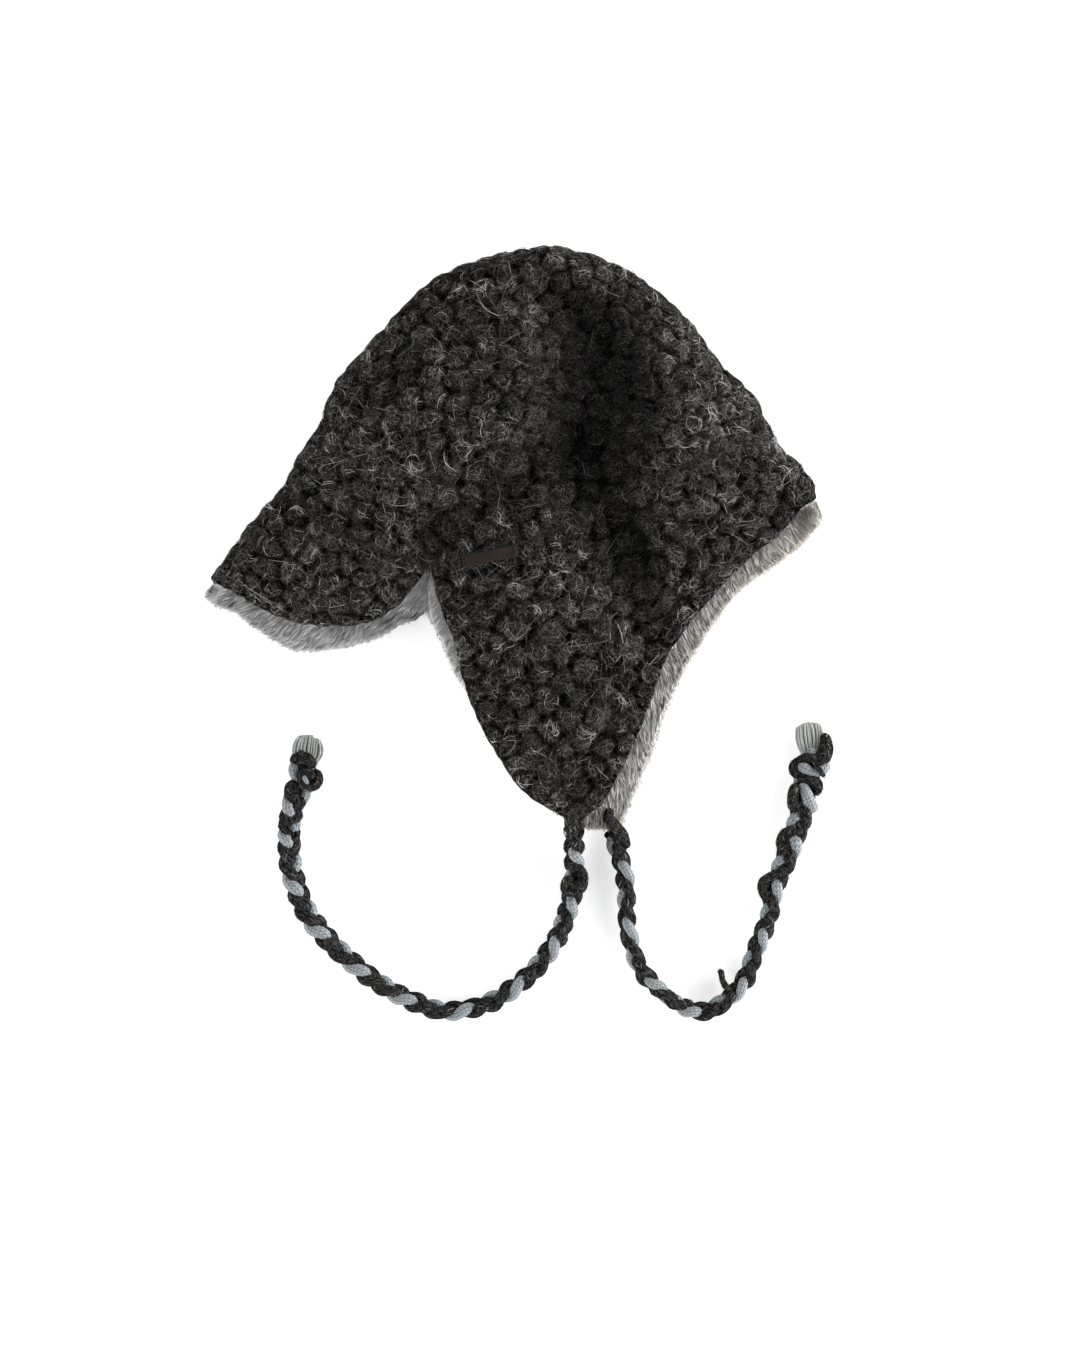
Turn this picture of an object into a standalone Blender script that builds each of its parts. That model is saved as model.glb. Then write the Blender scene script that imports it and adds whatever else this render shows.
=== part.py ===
"""Knitted winter hat with a peak and two ear flaps, lying on its side.

It is made of a knitted crown, peak and ear flap band, fur fabric linings under the peak and the band,
a leather tab, and two braided ties that end in a knot and a tassel. Metres, +Z up, the table is z = 0.
The near side is the upper one, the far side is the one that lies on the table.
"""

import math

import bmesh
import bpy
import numpy as np
from mathutils import Vector

MM = 0.001

# Walls, in millimetres
KNIT_THICK = 5.0
LINING_THICK = 4.2
LAYER_GAP = 0.35  # between the knit and its lining
SEAM_GAP = 0.9  # between two pieces that are sewn together
LINING_SHOWS = 2.0  # how far the lining reaches past the knitted edge

# Where the hat is folded in two along its middle, in millimetres
FOLD_HEIGHT = 15.5  # the outermost line of the fold, above the table
FOLD_REACH = 15.5  # how far inside the outline the fold is fully round
FLAP_TOP = 31.0  # the upper side where its lining lies on the lower flap's
SWELL_REACH = 80.0  # how far inside the outline the upper side reaches its full height

# Outlines seen from above, in millimetres, each read from one seam or corner to the next
PEAK_TIP = (-167, -22)
FRONT_SEAM = (-126.5, 29)
CROWN_TOP = (21, 160.5)
BACK_SEAM = (143, 56.5)
NAPE_TIP = (167, 22.5)
NEAR_NOTCH = (-46, -15.5)
FAR_NOTCH = (-48.5, -39)
NEAR_FLAP_TIP = (33.5, -156)
FAR_FLAP_TIP = (57, -159)
PEAK_FOLD = (FRONT_SEAM, (-145, 8), (-158, -10), PEAK_TIP)
FRONT_FOLD = (FRONT_SEAM, (-119, 45), (-107.5, 62), (-99.5, 83), (-84, 102), (-52, 136), (-32, 148), (-8, 156),
              CROWN_TOP)
BACK_FOLD = (BACK_SEAM, (138, 66), (130, 80), (114, 95), (97, 118), (73, 140), (47, 154), CROWN_TOP)
NAPE_FOLD = (BACK_SEAM, (146, 50), (156, 41), (164, 31), NAPE_TIP)

NEAR_BROW_SEAM = (FRONT_SEAM, (-112, 14), (-90, -1), (-68, -11), NEAR_NOTCH, (-13, -10.5), (20, 2), (69, 25),
                  (108, 42.5), BACK_SEAM)
NEAR_PEAK_EDGE = ((-60.5, -35), (-66, -39.5), (-82, -47.5), (-105, -48.7), (-124, -45.3), (-142, -36.5), PEAK_TIP)
NEAR_PEAK_CORNER = ((-50, -21), (-56, -28.5), (-60.5, -35))
NEAR_FLAP_FRONT = ((-43.2, -24), (-39.8, -38), (-32.5, -57), (-27.6, -77), (-20.8, -96.5), (-10, -117), (3, -136),
                   (17, -147.5), NEAR_FLAP_TIP)
NEAR_BACK_EDGE = (NEAR_FLAP_TIP, (46, -147.5), (54, -134), (64, -115), (76, -84), (84, -62.5), (103, -37.5),
                  (130.5, -9.5), (143.5, 0.5), (156, 14.5), NAPE_TIP)

FAR_BROW_SEAM = (FRONT_SEAM, (-107, 4), (-79, -22), FAR_NOTCH, (-19, -30), (20, -13), (58, 9.5), (102, 34),
                 BACK_SEAM)
FAR_PEAK_EDGE = ((-55.5, -44.5), (-66.5, -48), (-83, -55.3), (-110, -60.3), (-124.5, -58.8), (-145, -45.5),
                 (-152, -39.5), (-162, -33), PEAK_TIP)
FAR_PEAK_CORNER = ((-51.8, -41.5), (-55.5, -44.5))
FAR_FLAP_FRONT = ((-44.5, -46), (-38.5, -58), (-30.5, -75), (-22, -91), (-8, -113), (5.5, -130.5), (21, -147.5),
                  (38, -157.5), FAR_FLAP_TIP)
FAR_BACK_EDGE = (FAR_FLAP_TIP, (62.5, -145), (74.5, -117), (83, -91), (96.5, -64.5), (120.5, -30), (147.5, -10),
                 (157, -2), (163.5, 6), (167, 14), NAPE_TIP)
NOTCH_GAP = 1.2  # half the gap between peak and band where both start at the brow seam

# Swells of the upper side: name, centre x and y, half length, half width, turn in degrees, rise
SWELLS = (
    ("front of the crown", -42, 66, 90, 58, 38, 30),
    ("back of the crown", 92, 62, 60, 44, -50, 30),
    ("over the ear", 20, -22, 62, 42, 0, 10),
    ("peak", -112, -12, 42, 30, -30, 5),
    ("tip of the near flap", 33, -162, 34, 30, 0, -8),
)
# Creases of the upper side: name, depth at the start and the end, width to the left and the right of the
# way the points run, points
CREASES = (
    ("down the crown", 18, 8, 19, 25, ((24, 131), (42, 107), (48, 79), (47, 46), (53, 17), (63, -10), (71, -37))),
    ("behind the peak", 4, 6, 15, 15, ((-16, 116), (-25, 82), (-42, 48), (-47, 8))),
    ("over the notch", 9, 5, 12, 12, ((31, 56), (8, 40), (-14, 24), (-28, 12), (-45, 0))),
    ("front edge of the flap", 3, 3, 17, 17, ((-30, -78), (-4, -124), (33, -154))),
)

# The row's origin is under the middle of the hat without its ties, in the same millimetres
ORIGIN = np.array((0.55, 0.72, 0.0))

# How finely the sheets are laid out
CROWN_AROUND, CROWN_ROWS = 56, 15
BAND_AROUND, BAND_ROWS = 44, 11
PEAK_AROUND, PEAK_ROWS = 30, 6

# Leather tab on the brow seam, in millimetres
TAB_LENGTH, TAB_WIDTH, TAB_THICK, TAB_LIFT = 30.0, 6.4, 1.4, 1.1
TAB_CENTRE, TAB_TURN = (-13, -11.4), 11.5

# Braided ties: the routes are chosen points, in millimetres
TIE_DIAMETER = 11.5
TIE_ROUTES = {
    "near_tie": (
        (32.5, -160.8, 16), (32.5, -168, 12.8), (32.8, -178, 8.2), (33, -188, 6.3), (32, -197, 6), (28.9, -208, 6),
        (23.4, -221.7, 6), (14, -235.4, 6), (2, -247, 6), (-10.7, -255.3, 6), (-24.5, -260.2, 6), (-41, -261.3, 6),
        (-57.5, -255.8, 6), (-74, -246.8, 6), (-87.7, -236.4, 6), (-99.7, -225.4, 6), (-112.5, -210.7, 6),
        (-121.4, -191.4, 6), (-124.7, -172, 6), (-124, -155.7, 6), (-121, -142, 6),
    ),
    "far_tie": (
        (54.5, -162.6, 6), (56.6, -172, 6), (60.3, -183, 6), (61.8, -194, 6), (61.6, -205, 6), (62.6, -215, 6),
        (65, -226, 6), (69.5, -238, 6), (79, -249, 6), (89.7, -257.3, 6), (100, -261.5, 6), (108.5, -260.8, 6),
        (117, -255.5, 6), (124.5, -248, 6), (129.3, -240, 6), (132.5, -230, 6), (137, -219, 6), (141, -208, 6),
        (142.6, -198, 6), (146, -187, 6), (151.2, -174.5, 6), (155.2, -163, 6), (158.6, -152, 6), (160.3, -141, 6),
    ),
}
TIE_ENDS = {  # the knot's centre, the tassel's root, its tip, and half the spread of its locks in degrees
    "near_tie": ((-115.5, -131.5), (-116.5, -122), (-117.5, -110.5), 16.0),
    "far_tie": ((162, -130.5), (161.5, -121), (161, -102.5), 12.0),
}
TIE_POINT_EVERY = 2.2  # tube diameters
TIE_ROUND = 3  # bevel resolution

# Knots and tassels past the end of each tie, in millimetres
KNOT_WIDE, KNOT_LONG, KNOT_HIGH = 16.5, 15.0, 13.0
TASSEL_LOCKS, TASSEL_HEAD, TASSEL_LOCK_WIDE, TASSEL_LOCK_HIGH, TASSEL_HEIGHT = 7, 4.0, 1.8, 2.6, 5.0

COLOURS = {
    "knit": ((0.030, 0.029, 0.028), 0.95),
    "fur_fabric": ((0.36, 0.36, 0.35), 0.9),
    "leather": ((0.045, 0.024, 0.020), 0.55),
    "braid": ((0.05, 0.05, 0.05), 0.9),
    "cotton": ((0.42, 0.45, 0.45), 0.85),
}


class Line:
    """A smooth curve through a few points, read by its share of the length."""

    STEPS = 14

    def __init__(self, points):
        p = np.array(points, float)
        p = np.vstack([2 * p[0] - p[1], p, 2 * p[-1] - p[-2]])
        t = np.linspace(0, 1, self.STEPS, endpoint=False)[:, None]
        parts = []
        for a, b, c, d in zip(p[:-3], p[1:-2], p[2:-1], p[3:]):
            parts.append(b + 0.5 * t * (c - a + t * (2 * a - 5 * b + 4 * c - d + t * (3 * (b - c) + d - a))))
        self.points = np.vstack(parts + [p[-2:-1]])
        self.along = np.concatenate([[0], np.cumsum(np.linalg.norm(np.diff(self.points, axis=0), axis=1))])
        self.length = self.along[-1]

    def at(self, share):
        where = min(max(share, 0.0), 1.0) * self.length
        return np.array([np.interp(where, self.along, column) for column in self.points.T])

    def share_near(self, x, y):
        """The share of the length at which the curve passes closest to a place."""
        return self.along[int(np.hypot(self.points[:, 0] - x, self.points[:, 1] - y).argmin())] / self.length

    def away(self, x, y):
        """Distance from the curve to a place, and the side it is on: above 0 is to the left."""
        start, way = self.points[:-1], np.diff(self.points, axis=0)
        to = np.array([x, y]) - start
        t = np.clip((to * way).sum(1) / np.maximum((way * way).sum(1), 1e-9), 0, 1)
        off = to - t[:, None] * way
        far = np.hypot(off[:, 0], off[:, 1])
        i = int(far.argmin())
        return far[i], way[i][0] * off[i][1] - way[i][1] * off[i][0]


def run_on(points, further=8.0):
    """The same points and one more, straight on past the last one."""
    (ax, ay), (bx, by) = points[-2:]
    long = math.hypot(bx - ax, by - ay)
    return (*points, (bx + (bx - ax) * further / long, by + (by - ay) * further / long))


FOLDS = [Line(points) for points in (run_on(PEAK_FOLD), FRONT_FOLD, BACK_FOLD, run_on(NAPE_FOLD))]
CREASE_LINES = [(*numbers, Line(points)) for _, *numbers, points in CREASES]


def inside_of(x, y):
    """How far a place seen from above is inside the folded outline, in millimetres."""
    return min(fold.away(x, y)[0] for fold in FOLDS)


def round_rise(t):
    """Height of a quarter circle of radius 1 at a place t inside its rim."""
    return math.sqrt(1 - (1 - t) ** 2) if t < 1 else 1.0


def upper_height(x, y):
    """Height of the upper side above the flap's, before the fold at the outline rounds it off."""
    height = 0.0
    for _, cx, cy, half_long, half_wide, turn, rise in SWELLS:
        c, s = math.cos(math.radians(turn)), math.sin(math.radians(turn))
        along, across = (x - cx) * c + (y - cy) * s, (y - cy) * c - (x - cx) * s
        height += rise * math.exp(-((along / half_long) ** 2) - (across / half_wide) ** 2)
    for first_depth, last_depth, left, right, line in CREASE_LINES:
        far, side = line.away(x, y)
        depth = first_depth + (last_depth - first_depth) * line.share_near(x, y)
        height -= depth * math.exp(-((far / (left if side > 0 else right)) ** 2))
    return height


def near_point(x, y):
    """The outer surface of the upper side at a place seen from above."""
    inside = inside_of(x, y)
    fold = FOLD_HEIGHT + (FLAP_TOP - FOLD_HEIGHT) * round_rise(inside / FOLD_REACH)
    swell = math.sin(0.5 * math.pi * min(1.0, inside / SWELL_REACH))
    return np.array((x, y, fold + upper_height(x, y) * swell))


def far_point(x, y):
    """The outer surface of the lower side, flat on the table but for the fold."""
    return np.array((x, y, FOLD_HEIGHT * (1 - round_rise(inside_of(x, y) / FOLD_REACH))))


def crowded_ends(t):
    """Spreads places 0 to 1 so that they crowd towards both ends."""
    return 0.5 - 0.5 * math.cos(math.pi * t)


def crowded_end(t):
    """Spreads places 0 to 1 so that they crowd towards the end 1."""
    return math.sin(0.5 * math.pi * t)


class Crown:
    """Rings round the head from the brow seam to the top, where they close."""

    def __init__(self):
        self.front, self.back = Line(FRONT_FOLD), Line(BACK_FOLD)
        self.seams = {"near": Line(NEAR_BROW_SEAM), "far": Line(FAR_BROW_SEAM)}

    def at(self, around, up):
        """around goes from the front fold (0) over the near side to the back fold (0.5) and back below."""
        around = around % 1.0
        side = "near" if around <= 0.5 else "far"
        share = crowded_ends(2 * around if side == "near" else 2 - 2 * around)
        seam = self.seams[side]
        first, last = seam.at(0), seam.at(1)
        dip = seam.at(share) - first - (last - first) * share
        front, back = self.front.at(up), self.back.at(up)
        x, y = front + (back - front) * share + dip * (1 - up ** 1.6)
        return near_point(x, y) if side == "near" else far_point(x, y)


class Patch:
    """A folded piece below the brow seam. Each half lies between seam, free edge, open side and fold."""

    def __init__(self, fold, near, far):
        self.fold = Line(fold)
        self.halves = {"near": self.half(*near), "far": self.half(*far)}

    @staticmethod
    def half(seam_points, seam_from, seam_to, edge, corner):
        """The seam is used between two shares of its length, and all lines run from the open side to the fold."""
        seam = Line(seam_points)
        used = Line([seam.at(seam_from + (seam_to - seam_from) * i / 10) for i in range(11)])
        return used, Line(edge), Line([tuple(used.at(0))] + list(corner))

    def at(self, around, down):
        """around 0 to 0.5 is the near half up to the fold, 0.5 to 1 the far one; down runs from seam to edge."""
        side = "near" if around <= 0.5 else "far"
        share = crowded_end(2 * around if side == "near" else 2 - 2 * around)
        x, y = self.place(side, share, min(down, 1.0))
        if down > 1:
            way = np.array((x, y)) - self.place(side, share, 0.96)
            x, y = np.array((x, y)) + way / max(np.hypot(*way), 1e-6) * (down - 1)
        return near_point(x, y) if side == "near" else far_point(x, y)

    def place(self, side, share, down):
        seam, edge, corner = self.halves[side]
        ends = (1 - share) * ((1 - down) * seam.at(0) + down * edge.at(0))
        ends = ends + share * ((1 - down) * seam.at(1) + down * edge.at(1))
        place = (1 - down) * seam.at(share) + down * edge.at(share)
        return place + (1 - share) * corner.at(down) + share * self.fold.at(down) - ends


def band_patch():
    near, far = Line(NEAR_BROW_SEAM), Line(FAR_BROW_SEAM)
    return Patch(
        NAPE_FOLD,
        (NEAR_BROW_SEAM, near.share_near(*NEAR_NOTCH) + NOTCH_GAP / near.length, 1, NEAR_BACK_EDGE, NEAR_FLAP_FRONT),
        (FAR_BROW_SEAM, far.share_near(*FAR_NOTCH) + NOTCH_GAP / far.length, 1, FAR_BACK_EDGE, FAR_FLAP_FRONT),
    )


def peak_patch():
    near, far = Line(NEAR_BROW_SEAM), Line(FAR_BROW_SEAM)
    return Patch(
        PEAK_FOLD,
        (NEAR_BROW_SEAM, near.share_near(*NEAR_NOTCH) - NOTCH_GAP / near.length, 0, NEAR_PEAK_EDGE, NEAR_PEAK_CORNER),
        (FAR_BROW_SEAM, far.share_near(*FAR_NOTCH) - NOTCH_GAP / far.length, 0, FAR_PEAK_EDGE, FAR_PEAK_CORNER),
    )


def outward(shape, around, down, turn):
    """The unit normal of a sheet, from its neighbours in both directions."""
    wraps = isinstance(shape, Crown)
    a = (around - 0.004, around + 0.004) if wraps else (max(around - 0.004, 0), min(around + 0.004, 1))
    d = (max(down - 0.006, 0.0), min(down + 0.006, 0.9995 if wraps else 1.0))
    if d[1] <= d[0]:
        d = (0.99, 1.0)
    u = shape.at(a[1], down) - shape.at(a[0], down)
    v = shape.at(around, d[1]) - shape.at(around, d[0])
    normal = np.cross(u, v) * turn
    return normal / max(np.linalg.norm(normal), 1e-9)


def layer(shape, around, down, turn, depth_out, depth_in):
    """The outer and inner point of a layer that lies between two depths under the hat's surface."""
    point, normal = shape.at(around, down), outward(shape, around, min(down, 1.0), turn)
    return point - normal * depth_out, point - normal * depth_in


def add_object(name, mesh, material):
    colour, roughness = COLOURS[material]
    look = bpy.data.materials.new(f"{name}_{material}")
    look.use_nodes = True
    shader = look.node_tree.nodes["Principled BSDF"]
    shader.inputs["Base Color"].default_value = (*colour, 1)
    shader.inputs["Roughness"].default_value = roughness
    mesh.materials.append(look)
    item = bpy.data.objects.new(name, mesh)
    bpy.context.scene.collection.objects.link(item)
    return item


def add_body(name, points, faces, material, smooth=True):
    """One closed body from points in millimetres."""
    build = bmesh.new()
    corners = [build.verts.new(Vector(p - ORIGIN) * MM) for p in points]
    for face in faces:
        build.faces.new([corners[i] for i in face])
    bmesh.ops.triangulate(build, faces=build.faces[:])
    bmesh.ops.recalc_face_normals(build, faces=build.faces[:])
    mesh = bpy.data.meshes.new(name)
    build.to_mesh(mesh)
    build.free()
    mesh.polygons.foreach_set("use_smooth", [smooth] * len(mesh.polygons))
    return add_object(name, mesh, material)


def add_crown():
    shape = Crown()
    start = SEAM_GAP / Line(FRONT_FOLD).length * 1.3
    rows = [start + (0.93 - start) * i / (CROWN_ROWS - 1) for i in range(CROWN_ROWS)]
    points, faces = [], []
    for up in rows:
        for i in range(CROWN_AROUND):
            points.extend(layer(shape, i / CROWN_AROUND, up, 1, 0, KNIT_THICK))
    top = np.array((*CROWN_TOP, FOLD_HEIGHT))
    points.extend((top, top - np.array((0, KNIT_THICK, 0))))
    for row in range(CROWN_ROWS):
        for i in range(CROWN_AROUND):
            here, beside = row * CROWN_AROUND + i, row * CROWN_AROUND + (i + 1) % CROWN_AROUND
            if row + 1 < CROWN_ROWS:
                above, above_beside = here + CROWN_AROUND, beside + CROWN_AROUND
                faces.append((2 * here, 2 * beside, 2 * above_beside, 2 * above))
                faces.append((2 * beside + 1, 2 * here + 1, 2 * above + 1, 2 * above_beside + 1))
            else:
                faces.append((2 * here, 2 * beside, len(points) - 2))
                faces.append((2 * beside + 1, 2 * here + 1, len(points) - 1))
            if row == 0:
                faces.append((2 * beside, 2 * here, 2 * here + 1, 2 * beside + 1))
    return add_body("knit_crown", points, faces, "knit")


def add_sheet(name, shape, turn, around_count, rows, depths, material):
    """A folded sheet with four sides, between two depths under the hat's surface."""
    points, faces = [], []
    for down in rows:
        for i in range(around_count + 1):
            points.extend(layer(shape, i / around_count, down, turn, *depths))
    wide = around_count + 1

    def at(row, i, inner):
        return 2 * (row * wide + i) + inner

    for row in range(len(rows) - 1):
        for i in range(around_count):
            faces.append((at(row, i, 0), at(row, i + 1, 0), at(row + 1, i + 1, 0), at(row + 1, i, 0)))
            faces.append((at(row, i + 1, 1), at(row, i, 1), at(row + 1, i, 1), at(row + 1, i + 1, 1)))
        for i in (0, around_count):
            faces.append((at(row, i, 0), at(row + 1, i, 0), at(row + 1, i, 1), at(row, i, 1)))
    for row in (0, len(rows) - 1):
        for i in range(around_count):
            faces.append((at(row, i, 0), at(row, i + 1, 0), at(row, i + 1, 1), at(row, i, 1)))
    return add_body(name, points, faces, material)


def add_folded_pieces():
    lining_depths = (KNIT_THICK + LAYER_GAP, KNIT_THICK + LAYER_GAP + LINING_THICK)
    for name, shape, turn, around, rows in (
        ("flap_band", band_patch(), -1, BAND_AROUND, BAND_ROWS),
        ("peak", peak_patch(), 1, PEAK_AROUND, PEAK_ROWS),
    ):
        downs = [i / rows for i in range(rows + 1)]
        add_sheet(f"knit_{name}", shape, turn, around, downs, (0, KNIT_THICK), "knit")
        add_sheet(f"{name}_lining", shape, turn, around, downs + [1 + LINING_SHOWS], lining_depths, "fur_fabric")


def add_tab():
    """A thin leather tab that follows the knit it lies on."""
    c, s = math.cos(math.radians(TAB_TURN)), math.sin(math.radians(TAB_TURN))
    long_steps, wide_steps = 10, 3
    points, faces = [], []
    for lift in (TAB_LIFT, TAB_LIFT + TAB_THICK):
        for i in range(long_steps + 1):
            for j in range(wide_steps + 1):
                along = (i / long_steps - 0.5) * TAB_LENGTH
                across = (j / wide_steps - 0.5) * TAB_WIDTH
                x, y = TAB_CENTRE[0] + along * c - across * s, TAB_CENTRE[1] + along * s + across * c
                points.append(near_point(x, y) + np.array((0, 0, lift)))
    layer_size, wide = (long_steps + 1) * (wide_steps + 1), wide_steps + 1
    rim = [i * wide for i in range(long_steps + 1)]
    rim += [long_steps * wide + j for j in range(1, wide)]
    rim += [i * wide + wide_steps for i in range(long_steps - 1, -1, -1)]
    rim += [j for j in range(wide_steps - 1, 0, -1)]
    for i in range(long_steps):
        for j in range(wide_steps):
            a = i * wide + j
            faces.append((a, a + 1, a + wide + 1, a + wide))
            faces.append((a + layer_size, a + wide + layer_size, a + wide + 1 + layer_size, a + 1 + layer_size))
    for a, b in zip(rim, rim[1:] + rim[:1]):
        faces.append((a, b, b + layer_size, a + layer_size))
    return add_body("leather_tab", points, faces, "leather", smooth=False)


def add_tie(name):
    """The braid's outer form as a tube along its route."""
    route = Line(TIE_ROUTES[name])
    count = round(route.length / (TIE_POINT_EVERY * TIE_DIAMETER)) + 1
    curve = bpy.data.curves.new(f"{name}_braid", "CURVE")
    curve.dimensions = "3D"
    curve.bevel_depth = TIE_DIAMETER / 2 * MM
    curve.bevel_resolution = TIE_ROUND
    curve.use_fill_caps = True
    spline = curve.splines.new("POLY")
    spline.points.add(count - 1)
    for i in range(count):
        spline.points[i].co = (*((route.at(i / (count - 1)) - ORIGIN) * MM), 1)
    spline.use_smooth = True
    add_object(f"{name}_braid", curve, "braid")


def add_knot(name):
    """A knot as a lumpy flattened ball."""
    centre = np.array((*TIE_ENDS[name][0], KNOT_HIGH / 2 + 0.1))
    way = centre - np.array(TIE_ROUTES[name][-1])
    way[2] = 0
    way /= np.linalg.norm(way)
    side = np.array((-way[1], way[0], 0))
    rings, around = 7, 14
    points, faces = [], []
    for i in range(1, rings):
        tilt = math.pi * i / rings
        for j in range(around):
            turn = 2 * math.pi * j / around
            lump = 1 + 0.07 * math.sin(3 * turn + 2.2 * tilt)
            across, high = math.cos(turn) * math.sin(tilt) * lump, math.sin(turn) * math.sin(tilt)
            point = centre - way * math.cos(tilt) * KNOT_LONG / 2
            points.append(point + side * across * KNOT_WIDE / 2 + np.array((0, 0, high * KNOT_HIGH / 2)))
    points.extend((centre - way * KNOT_LONG / 2, centre + way * KNOT_LONG / 2))
    for i in range(rings - 2):
        for j in range(around):
            a, b = i * around + j, i * around + (j + 1) % around
            faces.append((a, b, b + around, a + around))
    for j in range(around):
        faces.append((j, (j + 1) % around, len(points) - 2))
        last = (rings - 2) * around
        faces.append((last + j, last + (j + 1) % around, len(points) - 1))
    add_body(f"{name}_knot", points, faces, "braid")


def add_tassel(name):
    """Locks that fan out of one head, all one body."""
    _, root, tip, spread = TIE_ENDS[name]
    way = np.array((tip[0] - root[0], tip[1] - root[1], 0.0))
    long = np.linalg.norm(way)
    way /= long
    side = np.array((-way[1], way[0], 0))
    up = np.array((0, 0, 1.0))
    start = np.array((*root, TASSEL_HEIGHT))
    head_wide = TASSEL_LOCKS * TASSEL_LOCK_WIDE
    points, faces = [], []
    for along, wide, high in ((0, head_wide * 0.5, 4.5), (TASSEL_HEAD, head_wide * 0.8, 4.5)):
        for i in range(TASSEL_LOCKS + 1):
            base = start + way * along + side * (i / TASSEL_LOCKS - 0.5) * wide
            points.extend((base - up * high / 2, base + up * high / 2))
    ring = 2 * (TASSEL_LOCKS + 1)
    for i in range(TASSEL_LOCKS):
        a = 2 * i
        faces.append((a, a + 2, a + 3, a + 1))
        faces.append((a, a + ring, a + ring + 2, a + 2))
        faces.append((a + 1, a + 3, a + ring + 3, a + ring + 1))
    for a in (0, ring - 2):
        faces.append((a, a + 1, a + ring + 1, a + ring))
    for i in range(TASSEL_LOCKS):
        angle = math.radians(spread) * (2 * (i + 0.5) / TASSEL_LOCKS - 1)
        out = way * math.cos(angle) + side * math.sin(angle)
        beside = side * math.cos(angle) - way * math.sin(angle)
        middle = sum(points[ring + 2 * i + k] for k in range(4)) / 4
        last = [ring + 2 * i, ring + 2 * i + 2, ring + 2 * i + 3, ring + 2 * i + 1]
        lock_long = (long - TASSEL_HEAD) * (0.92 + 0.08 * math.cos(2.3 * i))
        for share, wide, high in ((0.15, 0.7, 0.95), (0.6, 0.8, 0.8), (1.0, 0.45, 0.4)):
            place = middle + out * lock_long * share
            first = len(points)
            for w, h in ((-0.5, -0.5), (0.5, -0.5), (0.5, 0.5), (-0.5, 0.5)):
                points.append(place + beside * w * wide * TASSEL_LOCK_WIDE + up * h * high * TASSEL_LOCK_HIGH)
            now = [first, first + 1, first + 2, first + 3]
            for k in range(4):
                faces.append((last[k], last[(k + 1) % 4], now[(k + 1) % 4], now[k]))
            last = now
        faces.append(tuple(last))
    add_body(f"{name}_tassel", points, faces, "cotton", smooth=False)


for old in list(bpy.data.objects):
    bpy.data.objects.remove(old, do_unlink=True)
add_crown()
add_folded_pieces()
add_tab()
for tie in TIE_ROUTES:
    add_tie(tie)
    add_knot(tie)
    add_tassel(tie)
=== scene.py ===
"""A knitted ear flap hat that lies folded on its side on a pale floor, with its two braided ties."""

import math

import bmesh
import bpy
import numpy as np
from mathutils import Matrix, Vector
from mathutils.kdtree import KDTree


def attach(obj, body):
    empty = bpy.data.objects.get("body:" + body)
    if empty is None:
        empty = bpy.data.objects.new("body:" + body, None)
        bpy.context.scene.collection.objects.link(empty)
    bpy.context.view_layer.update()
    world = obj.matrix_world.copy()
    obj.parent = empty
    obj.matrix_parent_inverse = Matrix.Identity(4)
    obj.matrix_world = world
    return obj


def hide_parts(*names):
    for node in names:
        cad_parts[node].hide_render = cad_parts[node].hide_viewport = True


MM = 0.001
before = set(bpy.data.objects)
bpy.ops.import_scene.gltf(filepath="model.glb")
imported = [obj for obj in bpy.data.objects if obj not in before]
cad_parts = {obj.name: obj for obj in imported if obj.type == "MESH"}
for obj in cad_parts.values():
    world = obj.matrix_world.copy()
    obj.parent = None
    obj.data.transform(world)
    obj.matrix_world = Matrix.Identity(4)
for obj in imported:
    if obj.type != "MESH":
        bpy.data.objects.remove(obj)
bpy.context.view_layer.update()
scene = bpy.context.scene


# Camera: one photo pixel is 0.55 mm at the height of the hat's outline, seen from straight above
PIXEL, PHOTO_TALL, OUTLINE_HEIGHT, CAMERA_AWAY = 0.55, 1350, 15.5, 2000.0
PHOTO_MIDDLE = (13.5, -76.6)
SENSOR_TALL = 36


def add_object(name, data):
    thing = bpy.data.objects.new(name, data)
    scene.collection.objects.link(thing)
    return thing


def add_camera():
    look = bpy.data.cameras.new("camera")
    look.sensor_fit = "VERTICAL"
    look.sensor_height = SENSOR_TALL
    look.lens = SENSOR_TALL * CAMERA_AWAY / (PHOTO_TALL * PIXEL)
    look.clip_end = 20
    camera = add_object("camera", look)
    camera.location = Vector((*PHOTO_MIDDLE, OUTLINE_HEIGHT + CAMERA_AWAY)) * MM
    scene.camera = camera


add_camera()


# The drawing's origin in the frame of the part, in millimetres
ORIGIN = np.array((0.55, 0.72, 0.0))

# Braided ties: the routes of the CAD's tubes, in millimetres
TIE_ROUTES = {
    "near_tie": (
        (32.5, -160.8, 16), (32.5, -168, 12.8), (32.8, -178, 8.2), (33, -188, 6.3), (32, -197, 6),
        (28.9, -208, 6), (23.4, -221.7, 6), (14, -235.4, 6), (2, -247, 6), (-10.7, -255.3, 6),
        (-24.5, -260.2, 6), (-41, -261.3, 6), (-57.5, -255.8, 6), (-74, -246.8, 6), (-87.7, -236.4, 6),
        (-99.7, -225.4, 6), (-112.5, -210.7, 6), (-121.4, -191.4, 6), (-124.7, -172, 6), (-124, -155.7, 6),
        (-121, -142, 6),
    ),
    "far_tie": (
        (54.5, -162.6, 6), (56.6, -172, 6), (60.3, -183, 6), (61.8, -194, 6), (61.6, -205, 6),
        (62.6, -215, 6), (65, -226, 6), (69.5, -238, 6), (79, -249, 6), (89.7, -257.3, 6), (100, -261.5, 6),
        (108.5, -260.8, 6), (117, -255.5, 6), (124.5, -248, 6), (129.3, -240, 6), (132.5, -230, 6),
        (137, -219, 6), (141, -208, 6), (142.6, -198, 6), (146, -187, 6), (151.2, -174.5, 6),
        (155.2, -163, 6), (158.6, -152, 6), (160.3, -141, 6),
    ),
}

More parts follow.
